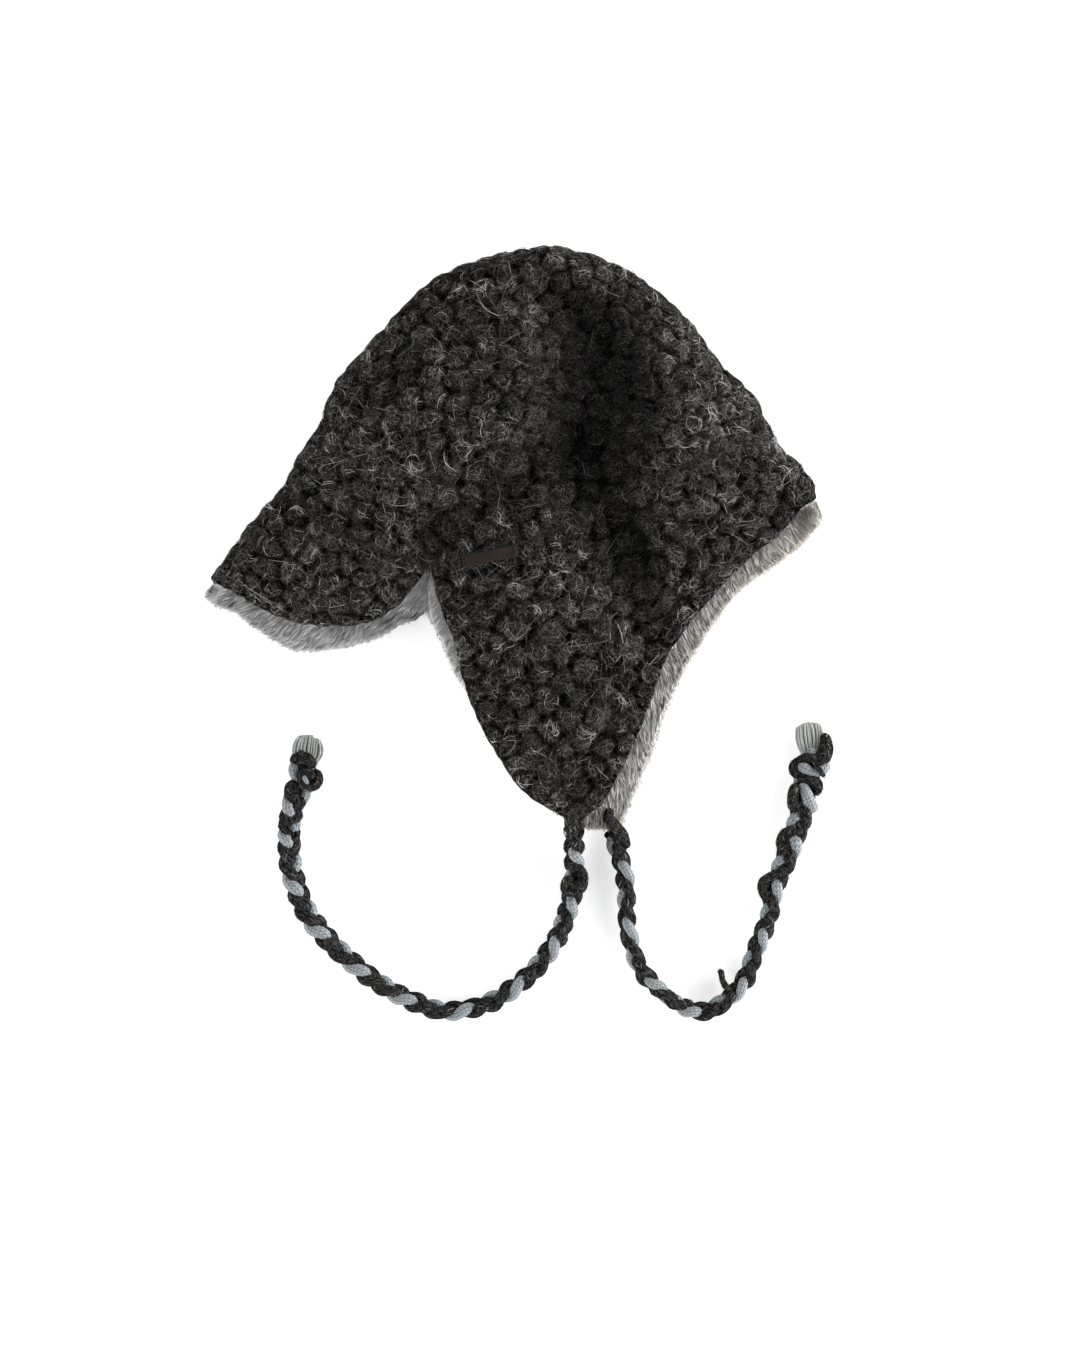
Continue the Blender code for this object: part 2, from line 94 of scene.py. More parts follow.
# The hat's form: the same outlines, swells and creases as in the CAD, in millimetres
FOLD_HEIGHT, FOLD_REACH, FLAP_TOP, SWELL_REACH = 15.5, 15.5, 31.0, 80.0
KNIT_THICK, NOTCH_GAP = 5.0, 1.2
PEAK_TIP, FRONT_SEAM, CROWN_TOP = (-167, -22), (-126.5, 29), (21, 160.5)
BACK_SEAM, NAPE_TIP = (143, 56.5), (167, 22.5)
NEAR_NOTCH, FAR_NOTCH, NEAR_FLAP_TIP, FAR_FLAP_TIP = (-46, -15.5), (-48.5, -39), (33.5, -156), (57, -159)
PEAK_FOLD = (FRONT_SEAM, (-145, 8), (-158, -10), PEAK_TIP)
FRONT_FOLD = (FRONT_SEAM, (-119, 45), (-107.5, 62), (-99.5, 83), (-84, 102), (-52, 136), (-32, 148),
              (-8, 156), CROWN_TOP)
BACK_FOLD = (BACK_SEAM, (138, 66), (130, 80), (114, 95), (97, 118), (73, 140), (47, 154), CROWN_TOP)
NAPE_FOLD = (BACK_SEAM, (146, 50), (156, 41), (164, 31), NAPE_TIP)
NEAR_BROW_SEAM = (FRONT_SEAM, (-112, 14), (-90, -1), (-68, -11), NEAR_NOTCH, (-13, -10.5), (20, 2), (69, 25),
                  (108, 42.5), BACK_SEAM)
NEAR_PEAK_EDGE = ((-60.5, -35), (-66, -39.5), (-82, -47.5), (-105, -48.7), (-124, -45.3), (-142, -36.5),
                  PEAK_TIP)
NEAR_PEAK_CORNER = ((-50, -21), (-56, -28.5), (-60.5, -35))
NEAR_FLAP_FRONT = ((-43.2, -24), (-39.8, -38), (-32.5, -57), (-27.6, -77), (-20.8, -96.5), (-10, -117),
                   (3, -136), (17, -147.5), NEAR_FLAP_TIP)
NEAR_BACK_EDGE = (NEAR_FLAP_TIP, (46, -147.5), (54, -134), (64, -115), (76, -84), (84, -62.5), (103, -37.5),
                  (130.5, -9.5), (143.5, 0.5), (156, 14.5), NAPE_TIP)
FAR_BROW_SEAM = (FRONT_SEAM, (-107, 4), (-79, -22), FAR_NOTCH, (-19, -30), (20, -13), (58, 9.5), (102, 34),
                 BACK_SEAM)
FAR_PEAK_EDGE = ((-55.5, -44.5), (-66.5, -48), (-83, -55.3), (-110, -60.3), (-124.5, -58.8), (-145, -45.5),
                 (-152, -39.5), (-162, -33), PEAK_TIP)
FAR_PEAK_CORNER = ((-51.8, -41.5), (-55.5, -44.5))
FAR_FLAP_FRONT = ((-44.5, -46), (-38.5, -58), (-30.5, -75), (-22, -91), (-8, -113), (5.5, -130.5),
                  (21, -147.5), (38, -157.5), FAR_FLAP_TIP)
FAR_BACK_EDGE = (FAR_FLAP_TIP, (62.5, -145), (74.5, -117), (83, -91), (96.5, -64.5), (120.5, -30),
                 (147.5, -10), (157, -2), (163.5, 6), (167, 14), NAPE_TIP)
SWELLS = (  # name, centre x and y, half length, half width, turn in degrees, rise
    ("front of the crown", -42, 66, 90, 58, 38, 30),
    ("back of the crown", 92, 62, 60, 44, -50, 30),
    ("over the ear", 20, -22, 62, 42, 0, 10),
    ("peak", -112, -12, 42, 30, -30, 5),
    ("tip of the near flap", 33, -162, 34, 30, 0, -8),
)
CREASES = (  # name, depth at the start and the end, width to the left and the right, points
    ("down the crown", 18, 8, 19, 25,
     ((24, 131), (42, 107), (48, 79), (47, 46), (53, 17), (63, -10), (71, -37))),
    ("behind the peak", 4, 6, 15, 15, ((-16, 116), (-25, 82), (-42, 48), (-47, 8))),
    ("over the notch", 9, 5, 12, 12, ((31, 56), (8, 40), (-14, 24), (-28, 12), (-45, 0))),
    ("front edge of the flap", 3, 3, 17, 17, ((-30, -78), (-4, -124), (33, -154))),
)


def lengths(points):
    """The length of a line of points from its start to each of them."""
    return np.concatenate([[0], np.cumsum(np.linalg.norm(np.diff(points, axis=0), axis=1))])


def from_table(rows, at):
    """Values between the (place, value) rows of a table."""
    return np.interp(at, *np.array(rows, float).T)


class Line:
    """A smooth curve through a few points, read by its share of the length."""

    def __init__(self, points, steps=14):
        p = np.array(points, float)
        p = np.vstack([2 * p[0] - p[1], p, 2 * p[-1] - p[-2]])
        t = np.linspace(0, 1, steps, endpoint=False)[:, None]
        parts = []
        for a, b, c, d in zip(p[:-3], p[1:-2], p[2:-1], p[3:]):
            parts.append(b + 0.5 * t * (c - a + t * (2 * a - 5 * b + 4 * c - d + t * (3 * (b - c) + d - a))))
        self.points = np.vstack(parts + [p[-2:-1]])
        self.along = lengths(self.points)
        self.length = self.along[-1]

    def at(self, share):
        where = np.clip(share, 0, 1) * self.length
        return np.stack([np.interp(where, self.along, column) for column in self.points.T], -1)

    def share_near(self, x, y):
        return self.along[int(np.hypot(self.points[:, 0] - x, self.points[:, 1] - y).argmin())] / self.length

    def away(self, spots):
        """Distance from the curve to each spot, the side it is on, and the share of the curve it is at."""
        start, way = self.points[:-1, :2], np.diff(self.points[:, :2], axis=0)
        long = np.maximum((way * way).sum(1), 1e-9)
        results = []
        for part in np.array_split(spots, len(spots) // 4000 + 1):
            to = part[:, None, :] - start
            t = np.clip((to * way).sum(2) / long, 0, 1)
            off = to - t[..., None] * way
            far = np.hypot(off[..., 0], off[..., 1])
            i = far.argmin(1)
            row = np.arange(len(part))
            side = way[i, 0] * off[row, i, 1] - way[i, 1] * off[row, i, 0]
            share = (self.along[i] + t[row, i] * np.sqrt(long[i])) / self.length
            results.append(np.stack([far[row, i], side, share]))
        return np.hstack(results)


def run_on(points, further=8.0):
    """The same points and one more, straight on past the last one."""
    (ax, ay), (bx, by) = points[-2:]
    long = math.hypot(bx - ax, by - ay)
    return (*points, (bx + (bx - ax) * further / long, by + (by - ay) * further / long))


FOLDS = [Line(points) for points in (run_on(PEAK_FOLD), FRONT_FOLD, BACK_FOLD, run_on(NAPE_FOLD))]
CREASE_LINES = [(*numbers, Line(points)) for _, *numbers, points in CREASES]
PAINTED_CREASE_SHADE = (  # which crease; the share of it, how much painted shade darkens its wool there, and half the width of that
    (0, ((0, 0.3, 15), (0.12, 0.55, 26), (0.3, 0.66, 35), (0.5, 0.57, 32), (0.65, 0.43, 24), (0.85, 0.4, 19),
         (1, 0.3, 15))),
    (2, ((0, 0.3, 16), (0.5, 0.3, 15), (1, 0.2, 12))),
)


def upper_height(spots):
    """Height of the upper side above the flap's, before the fold at the outline rounds it off."""
    x, y = spots.T
    height = np.zeros(len(spots))
    for _, cx, cy, half_long, half_wide, turn, rise in SWELLS:
        c, s = math.cos(math.radians(turn)), math.sin(math.radians(turn))
        along, across = (x - cx) * c + (y - cy) * s, (y - cy) * c - (x - cx) * s
        height += rise * np.exp(-((along / half_long) ** 2) - (across / half_wide) ** 2)
    for first_depth, last_depth, left, right, line in CREASE_LINES:
        far, side, share = line.away(spots)
        depth = first_depth + (last_depth - first_depth) * share
        height -= depth * np.exp(-((far / np.where(side > 0, left, right)) ** 2))
    return height


def surface(spots, near):
    """Points of the hat's outer surface at spots seen from above, on the near or the far side."""
    inside = np.min([fold.away(spots)[0] for fold in FOLDS], axis=0)
    rise = np.sqrt(1 - (1 - np.minimum(inside / FOLD_REACH, 1)) ** 2)
    swell = upper_height(spots) * np.sin(0.5 * math.pi * np.minimum(inside / SWELL_REACH, 1))
    near_height = FOLD_HEIGHT + (FLAP_TOP - FOLD_HEIGHT) * rise + swell
    return np.column_stack([spots, np.where(near, near_height, FOLD_HEIGHT * (1 - rise))])


def unit(rows):
    return rows / np.maximum(np.linalg.norm(rows, axis=-1, keepdims=True), 1e-9)


def dot(a, b):
    return (a * b).sum(-1)


def crowded_ends(t):
    """Shares from 0 to 1 that lie closer together towards both ends."""
    return 0.5 - 0.5 * np.cos(math.pi * t)


def crowded_end(t):
    """Shares from 0 to 1 that lie closer together towards 1."""
    return np.sin(0.5 * math.pi * t)


class Crown:
    """Rings round the head from the brow seam to the top, where they close."""

    wraps = True

    def __init__(self):
        self.front, self.back = Line(FRONT_FOLD), Line(BACK_FOLD)
        self.seams = [Line(FAR_BROW_SEAM), Line(NEAR_BROW_SEAM)]

    def place(self, around, up):
        """around goes from the front fold (0) over the near side to the back fold (0.5) and back below."""
        near = around <= 0.5
        share = crowded_ends(np.where(near, 2 * around, 2 - 2 * around))[:, None]
        front, back = self.front.at(up), self.back.at(up)
        dips = []
        for seam in self.seams:
            first, last = seam.at(0.0), seam.at(1.0)
            dips.append(seam.at(share[:, 0]) - first - (last - first) * share)
        dip = np.where(near[:, None], dips[1], dips[0])
        return front + (back - front) * share + dip * (1 - up ** 1.6)[:, None], near


class Patch:
    """A folded piece below the brow seam. Each half lies between seam, free edge, open side and fold."""

    wraps = False

    def __init__(self, fold, near, far):
        self.fold = Line(fold)
        self.halves = [self.half(*far), self.half(*near)]

    @staticmethod
    def half(seam_points, seam_from, seam_to, edge, corner):
        used = Line(Line(seam_points).at(np.linspace(seam_from, seam_to, 11)))
        return used, Line(edge), Line([tuple(used.at(0.0))] + list(corner))

    def place(self, around, down):
        """around: the near half up to the fold from 0 to 0.5, then the far one. down: from seam to edge."""
        near = around <= 0.5
        share = crowded_end(np.where(near, 2 * around, 2 - 2 * around))[:, None]
        halves = [self.half_place(half, share, down[:, None]) for half in self.halves]
        return np.where(near[:, None], halves[1], halves[0]), near

    def half_place(self, half, share, down):
        seam, edge, corner = half
        ends = (1 - share) * ((1 - down) * seam.at(0.0) + down * edge.at(0.0))
        ends = ends + share * ((1 - down) * seam.at(1.0) + down * edge.at(1.0))
        spots = (1 - down) * seam.at(share[:, 0]) + down * edge.at(share[:, 0])
        return spots + (1 - share) * corner.at(down[:, 0]) + share * self.fold.at(down[:, 0]) - ends

    def outline(self, near):
        """The half's outline seen from above, once round."""
        seam, edge, corner = self.halves[int(near)]
        t = np.linspace(0, 1, 60)
        return np.vstack([seam.at(t), self.fold.at(t), edge.at(t[::-1]), corner.at(t[::-1])])


def patch_below(fold, seam_end, gap, near, far):
    """The piece between the notch and one end of the brow seam. near and far are its edge and its corner."""
    halves = []
    for points, notch, lines in ((NEAR_BROW_SEAM, NEAR_NOTCH, near), (FAR_BROW_SEAM, FAR_NOTCH, far)):
        seam = Line(points)
        halves.append((points, seam.share_near(*notch) + gap / seam.length, seam_end, *lines))
    return Patch(fold, *halves)


CROWN = Crown()
BAND = patch_below(NAPE_FOLD, 1, NOTCH_GAP,
                   (NEAR_BACK_EDGE, NEAR_FLAP_FRONT), (FAR_BACK_EDGE, FAR_FLAP_FRONT))
PEAK = patch_below(PEAK_FOLD, 0, -NOTCH_GAP,
                   (NEAR_PEAK_EDGE, NEAR_PEAK_CORNER), (FAR_PEAK_EDGE, FAR_PEAK_CORNER))


def within(spots, outline):
    """Which spots are inside a closed outline."""
    x, y = spots[:, 0][:, None], spots[:, 1][:, None]
    x0, y0 = outline.T
    x1, y1 = np.roll(outline, -1, axis=0).T
    with np.errstate(divide="ignore", invalid="ignore"):
        crossing = ((y0 > y) != (y1 > y)) & (x < (x1 - x0) * (y - y0) / (y1 - y0) + x0)
    return crossing.sum(1) % 2 == 1


# Materials
LOOKS = {}


class Look:
    """A new material, and short calls that add nodes to it. What a node reads is a number or a socket."""

    def __init__(self, name, colour, roughness, sheen=0.0, shine=0.25):
        look = bpy.data.materials.new(name)
        look.use_nodes = True
        self.nodes, self.links = look.node_tree.nodes, look.node_tree.links
        self.shader = self.nodes["Principled BSDF"]
        values = {"Base Color": (*colour, 1), "Roughness": roughness, "Specular IOR Level": shine,
                  "Sheen Weight": sheen, "Sheen Roughness": 0.5}
        for key, value in values.items():
            self.shader.inputs[key].default_value = value
        LOOKS[name] = look

    def add(self, kind, output, inputs, **settings):
        """Adds a node and returns one of its outputs. inputs and the output go by name or number."""
        node = self.nodes.new("ShaderNode" + kind)
        for key, value in settings.items():
            setattr(node, key, value)
        for key, value in inputs.items():
            if isinstance(value, bpy.types.NodeSocket):
                self.links.new(value, node.inputs[key])
            else:
                node.inputs[key].default_value = value
        return node.outputs[output]

    def place(self):
        return self.add("TexCoord", "Object", {})

    def read(self, name, output="Fac"):
        return self.add("Attribute", output, {}, attribute_name=name)

    def moved(self, place, scale=(1, 1, 1), location=(0, 0, 0)):
        return self.add("Mapping", "Vector", {"Vector": place, "Scale": scale, "Location": location})

    def noise(self, place, scale, detail=2.0, roughness=0.5, distortion=0.0):
        return self.add("TexNoise", "Fac", {"Vector": place, "Scale": scale, "Detail": detail,
                                            "Roughness": roughness, "Distortion": distortion})

    def math(self, kind, a, b=0.0):
        return self.add("Math", "Value", {0: a, 1: b}, operation=kind)

    def sum(self, a, b):
        return self.math("ADD", a, b)

    def times(self, a, b):
        return self.math("MULTIPLY", a, b)

    def to_middle(self, a):
        """How far a number is from the middle between two whole ones."""
        return self.math("ABSOLUTE", self.math("SUBTRACT", self.math("FRACT", a), 0.5))

    def ramp(self, source, *stops):
        """A colour ramp with (position, grey or colour) stops that reads a socket."""
        colours = self.add("ValToRGB", "Color", {"Fac": source})
        elements = colours.node.color_ramp.elements
        while len(elements) < len(stops):
            elements.new(0.5)
        for element, (position, colour) in zip(elements, stops):
            colour = colour if isinstance(colour, tuple) else (colour, colour, colour)
            element.position, element.color = position, (*colour, 1)
        return colours

    def paint(self, colours):
        self.links.new(colours, self.shader.inputs["Base Color"])

    def bump(self, height, strength, distance):
        normal = self.add("Bump", "Normal", {"Height": height, "Strength": strength, "Distance": distance})
        self.links.new(normal, self.shader.inputs["Normal"])


def bobble_wool():
    """Dark grey felted wool: fibres curl over the bobbles, and painted shade makes the holes between them
    nearly black and darkens the creases.
    """
    look = Look("bobble_wool", (0.03, 0.03, 0.03), 1.0, 0, 0)
    place = look.place()

    def winding_lines(scale, lines, location):
        """Fine lines that run side by side and curl, as felted fibres do, between 0 and 1."""
        field = look.noise(look.moved(place, location=location), scale, 1.0, 0.4, 0.5)
        return look.sum(look.times(look.math("SINE", look.times(field, 6.283 * lines)), 0.5), 0.5)

    both = look.math("MAXIMUM", winding_lines(105, 8, (0, 0, 0)), winding_lines(150, 7, (3.1, 1.7, 0.4)))
    felt = look.sum(look.times(look.math("POWER", both, 3), 0.24), look.noise(place, 560, 4, 0.9))
    colours = look.ramp(look.sum(felt, look.times(look.read("shade"), 0.035)), (0.45, 0.0015),
                        (0.58, (0.0086, 0.0083, 0.0082)), (0.69, (0.0284, 0.0275, 0.0269)),
                        (0.83, (0.134, 0.130, 0.127)))
    # Painted shade: the 'open' attribute darkens the colour in the furrows between bobbles, along the
    # creases and at the brow seam
    depth = look.ramp(look.read("open"), (0.0, 0.0), (1.0, 1.0))
    look.paint(look.add("VectorMath", "Vector", {0: colours, 1: depth}, operation="MULTIPLY"))
    look.bump(felt, 1.0, 0.0012)


def loose_wool():
    """Single fibres that lie on the bobbles, from near black to almost white."""
    look = Look("loose_wool", (0.1, 0.1, 0.1), 0.9, 0, 0.02)
    look.paint(look.ramp(look.read("shade"), (0.0, 0.003), (0.4, (0.0238, 0.0229, 0.0220)),
                         (0.7, (0.083, 0.080, 0.077)), (1.0, (0.42, 0.415, 0.40))))


def fur_backing():
    """The fur fabric under its hairs."""
    look = Look("fur_backing", (0.36, 0.36, 0.35), 0.9, 0, 0.1)
    pile = look.noise(look.place(), 900, 3, 0.6)
    look.paint(look.ramp(pile, (0.3, 0.2), (0.7, 0.42)))
    look.bump(pile, 0.6, 0.001)


def fur_hair():
    """The hairs of the fur, a warmer grey towards the nape."""
    look = Look("fur_hair", (0.4, 0.4, 0.39), 0.75, 0, 0.2)
    shade = look.read("shade")
    cool = look.ramp(shade, (0, (0.10, 0.101, 0.104)), (0.5, (0.42, 0.422, 0.425)), (1, 0.78))
    warm = look.ramp(shade, (0, (0.11, 0.098, 0.080)), (0.5, (0.41, 0.375, 0.315)), (1, (0.74, 0.69, 0.60)))
    look.paint(look.add("Mix", 2, {"Factor": look.read("warmth"), 6: cool, 7: warm}, data_type="RGBA"))


def strand_wool():
    """The dark wool strands of the ties, spun loosely."""
    look = Look("strand_wool", (0.03, 0.03, 0.03), 1.0, 0, 0)
    fibres = look.noise(look.moved(look.read("wound", "Vector"), (0.7, 1.3, 1)), 1.1, 2.5, 0.75, 0.8)
    look.paint(look.ramp(fibres, (0.38, 0.0016), (0.5, (0.0100, 0.0098, 0.0097)),
                         (0.66, (0.080, 0.078, 0.077))))
    look.bump(fibres, 1.0, 0.0014)


def knitted_cord():
    """The light strand, a thin knitted cotton cord with rows of V-shaped stitches."""
    look = Look("knitted_cord", (0.5, 0.54, 0.56), 0.85, 0.1)
    spun = look.read("wound", "Vector")
    along, around = (look.add("SeparateXYZ", axis, {"Vector": spun}) for axis in "XY")
    lean = look.to_middle(look.math("DIVIDE", around, 2.1))
    row = look.to_middle(look.sum(look.math("DIVIDE", along, 1.7), look.times(lean, 1.3)))
    stitch = look.sum(look.times(row, -1.1), look.times(lean, -0.7))
    mixed = look.sum(look.sum(stitch, 0.75), look.times(look.noise(spun, 2.2, 3, 0.6), 0.4))
    look.paint(look.ramp(mixed, (0.15, (0.07, 0.079, 0.086)), (0.55, (0.165, 0.180, 0.190)),
                         (0.95, (0.27, 0.284, 0.292))))
    look.bump(mixed, 0.8, 0.0008)


def cotton_thread():
    """The cut threads of the tassels."""
    look = Look("cotton_thread", (0.5, 0.52, 0.52), 0.8, 0.1)
    twist = look.noise(look.moved(look.read("wound", "Vector"), (0.5, 2, 1)), 2.0, 3, 0.6)
    look.paint(look.ramp(twist, (0.3, (0.16, 0.168, 0.16)), (0.7, (0.38, 0.39, 0.375))))
    look.bump(twist, 0.6, 0.0006)


def dark_leather():
    """The brown leather of the label, smooth on top with a fine grain."""
    look = Look("dark_leather", (0.01, 0.007, 0.007), 0.7, 0, 0.12)
    grain, stain = look.noise(look.place(), 900, 3, 0.6), look.noise(look.place(), 160, 2, 0.5)
    both = look.sum(look.times(grain, 0.6), look.times(stain, 0.4))
    look.paint(look.ramp(both, (0.3, (0.0060, 0.0036, 0.0033)), (0.7, (0.0185, 0.0118, 0.0110))))
    look.bump(grain, 0.5, 0.0004)


def white_table():
    """The floor's material, lit a little from inside, as for product photographs."""
    look = Look("white_table", (0.5, 0.5, 0.5), 0.9)
    look.paint(look.ramp(look.noise(look.place(), 3, 2, 0.5), (0.3, 0.49), (0.7, 0.51)))
    look.shader.inputs["Emission Color"].default_value = (1, 1, 1, 1)
    look.shader.inputs["Emission Strength"].default_value = 0.64


for make in (bobble_wool, loose_wool, fur_backing, fur_hair, strand_wool, knitted_cord, cotton_thread,
             dark_leather, white_table):
    make()


# Meshes from arrays of points in millimetres
LEAST_HEIGHT = 0.04  # above the surface that the hat lies on


def held_above(points, height=0.15):
    """The same points, none of them lower than a height."""
    points[..., 2] = np.maximum(points[..., 2], height)
    return points


def add_piece(name, points, faces, look, slot, replaces=(), smooth=True, **values):
    """A mesh from arrays of points and faces. values are attributes, one row for each point."""
    mesh = bpy.data.meshes.new(name)
    points = held_above(points.copy(), LEAST_HEIGHT)
    corners = faces.shape[1]
    mesh.vertices.add(len(points))
    mesh.vertices.foreach_set("co", ((points - ORIGIN) * MM).astype(np.float32).ravel())
    mesh.loops.add(faces.size)
    mesh.loops.foreach_set("vertex_index", faces.astype(np.int32).ravel())
    mesh.polygons.add(len(faces))
    mesh.polygons.foreach_set("loop_start", np.arange(0, faces.size, corners, dtype=np.int32))
    mesh.polygons.foreach_set("use_smooth", np.full(len(faces), smooth))
    for attribute, rows in values.items():
        kind, key = ("FLOAT", "value") if rows.ndim == 1 else ("FLOAT_VECTOR", "vector")
        mesh.attributes.new(attribute, kind, "POINT").data.foreach_set(key, rows.astype(np.float32).ravel())
    mesh.update(calc_edges=True)
    mesh.materials.append(LOOKS[look])
    piece = add_object(name, mesh)
    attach(piece, "root")
    if replaces:
        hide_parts(*replaces)
    return piece


def add_ribbons(name, look, slot, paths, wide, twist, **values):
    """Hairs or loose fibres: thin tapered ribbons along paths with an equal number of points.

    values are attributes, one row for each path or for each point of the paths.
    """
    count, steps, _ = paths.shape
    side = unit(np.cross(unit(np.gradient(paths, axis=1)), twist))
    taper = np.interp(np.linspace(0, 1, steps), (0, 0.2, 0.7, 1), (0.6, 1, 0.8, 0.12))
    half = side * (wide[:, None] * taper * 0.5)[..., None]
    points = np.stack([paths - half, paths + half], axis=2).reshape(-1, 3)
    base = np.arange(steps - 1) * 2
    quad = np.stack([base, base + 1, base + 3, base + 2], axis=1)
    faces = (quad[None] + (np.arange(count) * steps * 2)[:, None, None]).reshape(-1, 4)
    values = {key: np.repeat(rows, len(points) // rows.size) for key, rows in values.items()}
    return add_piece(name, points, faces, look, slot, smooth=False, **values)


def grid_faces(rows, columns, wraps=False):
    index = np.arange(rows * columns).reshape(rows, columns)
    right = np.roll(index, -1, axis=1)
    quads = np.stack([index[:-1], right[:-1], right[1:], index[1:]], axis=-1)
    return quads if wraps else quads[:, :-1]


# Knitted sheets
KNIT_PULL = ((168.5, 16, -6.0, 3.0, 7),)
FUR_PULL = ((-164, -28, -5.0, -2.5, 12), (165, 17, 6.0, -0.8, 9))
PULL_HEIGHT, PULL_SOFT = 17, 1.5  # pulls end at this height, over this distance up and down


def pulled(points, pulls):
    """Points of a piece or its outline, pulled to the side low down at the hat's tips.

    A pull is the place, how far to the right and up it goes, and how wide round it.
    """
    points = points.copy()
    spots = points[:, :2].copy()
    low = np.ones(len(points))
    if points.shape[1] == 3:
        low = 1 / (1 + np.exp((points[:, 2] - PULL_HEIGHT) / PULL_SOFT))
    for x, y, right, up, size in pulls:
        share = (low * np.exp(-((spots - (x, y)) ** 2).sum(1) / size ** 2))[:, None]
        points[:, :2] += share * (right, up)
    return points


CROWN_ROWS_END = 0.985  # share of the way up where the crown's rows end, round a small ring
KNIT_RIM = ((1.2, 1.2), KNIT_THICK, 4.0)  # reach on the near and far side, thickness, how far it runs on
RIM_STEPS, RIM_SMOOTH = 7, 9  # rings of the rim, and points over which its direction is evened out
FURTHEST = 70  # columns of the grid that a fibre may reach over
MOST_ON_SHEET = 0.7  # share of its points that a fibre has on the sheet, or else it is left out


class Sheet:
    """A grid of points over one piece's outer surface, at a depth, with a rounded rim at its free edge."""

    fur = False

    def __init__(self, shape, near_columns, far_columns, rows, depth=0.0, rim=KNIT_RIM):
        self.wraps = shape.wraps
        around = np.concatenate([np.linspace(0, 0.5, near_columns, endpoint=False),
                                 np.linspace(0.5, 1, far_columns, endpoint=not self.wraps)])
        down = np.linspace(0, CROWN_ROWS_END if self.wraps else 1, rows)
        self.rows, self.columns = rows, len(around)
        spots, near = shape.place(*(part.ravel() for part in np.meshgrid(around, down)))
        base = surface(spots, near).reshape(rows, self.columns, 3)
        normals = unit(np.cross(self.step_right(base), np.gradient(base, axis=0)))
        self.turn = np.sign(normals[near.reshape(rows, -1)][:, 2].sum())
        base = base - normals * self.turn * depth
        self.points, self.normals = base.reshape(-1, 3), (normals * self.turn).reshape(-1, 3)
        self.near = near
        self.faces = grid_faces(rows, self.columns, self.wraps).reshape(-1, 4)
        if self.turn < 0:
            self.faces = self.faces[:, ::-1]
        self.fade = np.ones(len(self.points))
        self.seam_far = np.repeat(np.arange(rows), self.columns).astype(float)
        if rim and not self.wraps:
            self.add_rim(self.turn, *rim)

    def step_right(self, grid):
        if self.wraps:
            return (np.roll(grid, -1, axis=1) - np.roll(grid, 1, axis=1)) / 2
        return np.gradient(grid, axis=1)

    def add_rim(self, turn, reach, thick, tuck):
        """Rounds the free edge over to the inner side, where it runs on."""
        last_row, last_column = self.rows - 1, self.columns - 1
        rows = np.concatenate([np.arange(last_row), np.full(last_column, last_row),
                               np.arange(last_row, -1, -1)])
        columns = np.concatenate([np.zeros(last_row, int), np.arange(last_column),
                                  np.full(last_row + 1, last_column)])
        edge = rows * self.columns + columns
        inner = np.clip(rows, 1, last_row - 1) * self.columns + np.clip(columns, 1, last_column - 1)
        points, normals = self.points[edge], self.normals[edge]
        reach = np.where(self.near[edge], *reach)[:, None]
        if self.fur:
            forward, back = near_strip(points) * self.near[edge], far_front(points) * ~self.near[edge]
            reach = reach + (STRIP_REACH * forward - RIM_FRONT_BACK * back)[:, None]
        out = np.cross(np.gradient(points, axis=0), normals)
        out *= np.sign(dot(out, points - self.points[inner]))[:, None]
        padded = np.pad(unit(out), ((RIM_SMOOTH // 2, RIM_SMOOTH // 2), (0, 0)), "edge")
        mean = np.ones(RIM_SMOOTH) / RIM_SMOOTH
        out = unit(np.array([np.convolve(part, mean, "valid") for part in padded.T]).T)
        rings, fades, ring_normals = [], [], []
        for angle in np.linspace(0, math.pi, RIM_STEPS + 1)[1:]:
            c, s = math.cos(angle), math.sin(angle)
            rings.append(points - normals * (thick / 2 * (1 - c)) + out * (reach * s))
            ring_normals.append(unit(normals * c * reach + out * (s * thick / 2)))
            fades.append((1 + c) / 2)
        rings.append(rings[-1] - out * tuck)
        ring_normals.append(-normals)
        fades.append(0.0)
        start, wide = len(self.points), len(edge)
        index = np.vstack([edge[None], start + np.arange(len(rings) * wide).reshape(-1, wide)])
        quads = np.stack([index[:-1, :-1], index[:-1, 1:], index[1:, 1:], index[1:, :-1]], axis=-1)
        quads = quads.reshape(-1, 4)
        self.faces = np.vstack([self.faces, quads[:, ::-1] if turn > 0 else quads])
        self.points = np.vstack([self.points, *rings])
        self.normals = np.vstack([self.normals, *ring_normals])
        self.near = np.concatenate([self.near, *([self.near[edge]] * len(rings))])
        self.fade = np.concatenate([self.fade, np.repeat(fades, wide)])
        self.seam_far = np.concatenate([self.seam_far, *([rows.astype(float)] * len(rings))])

    def settle_down(self):
        """Keeps the finished points, and the steps between them that read() needs."""
        grid = self.points[: self.rows * self.columns].reshape(self.rows, self.columns, 3)
        self.grid, self.grid_normals = grid, self.normals[: self.rows * self.columns].reshape(grid.shape)
        self.right = self.smoothed(self.step_right(grid))
        self.down = self.smoothed(np.gradient(grid, axis=0))
        self.open_grid = self.open[: self.rows * self.columns].reshape(self.rows, self.columns, 1)

    @staticmethod
    def smoothed(grid, times=6):
        for _ in range(times):
            padded = np.pad(grid, ((1, 1), (1, 1), (0, 0)), "edge")
            grid = (padded[:-2, 1:-1] + padded[2:, 1:-1] + padded[1:-1, :-2] + padded[1:-1, 2:]) / 4
        return grid

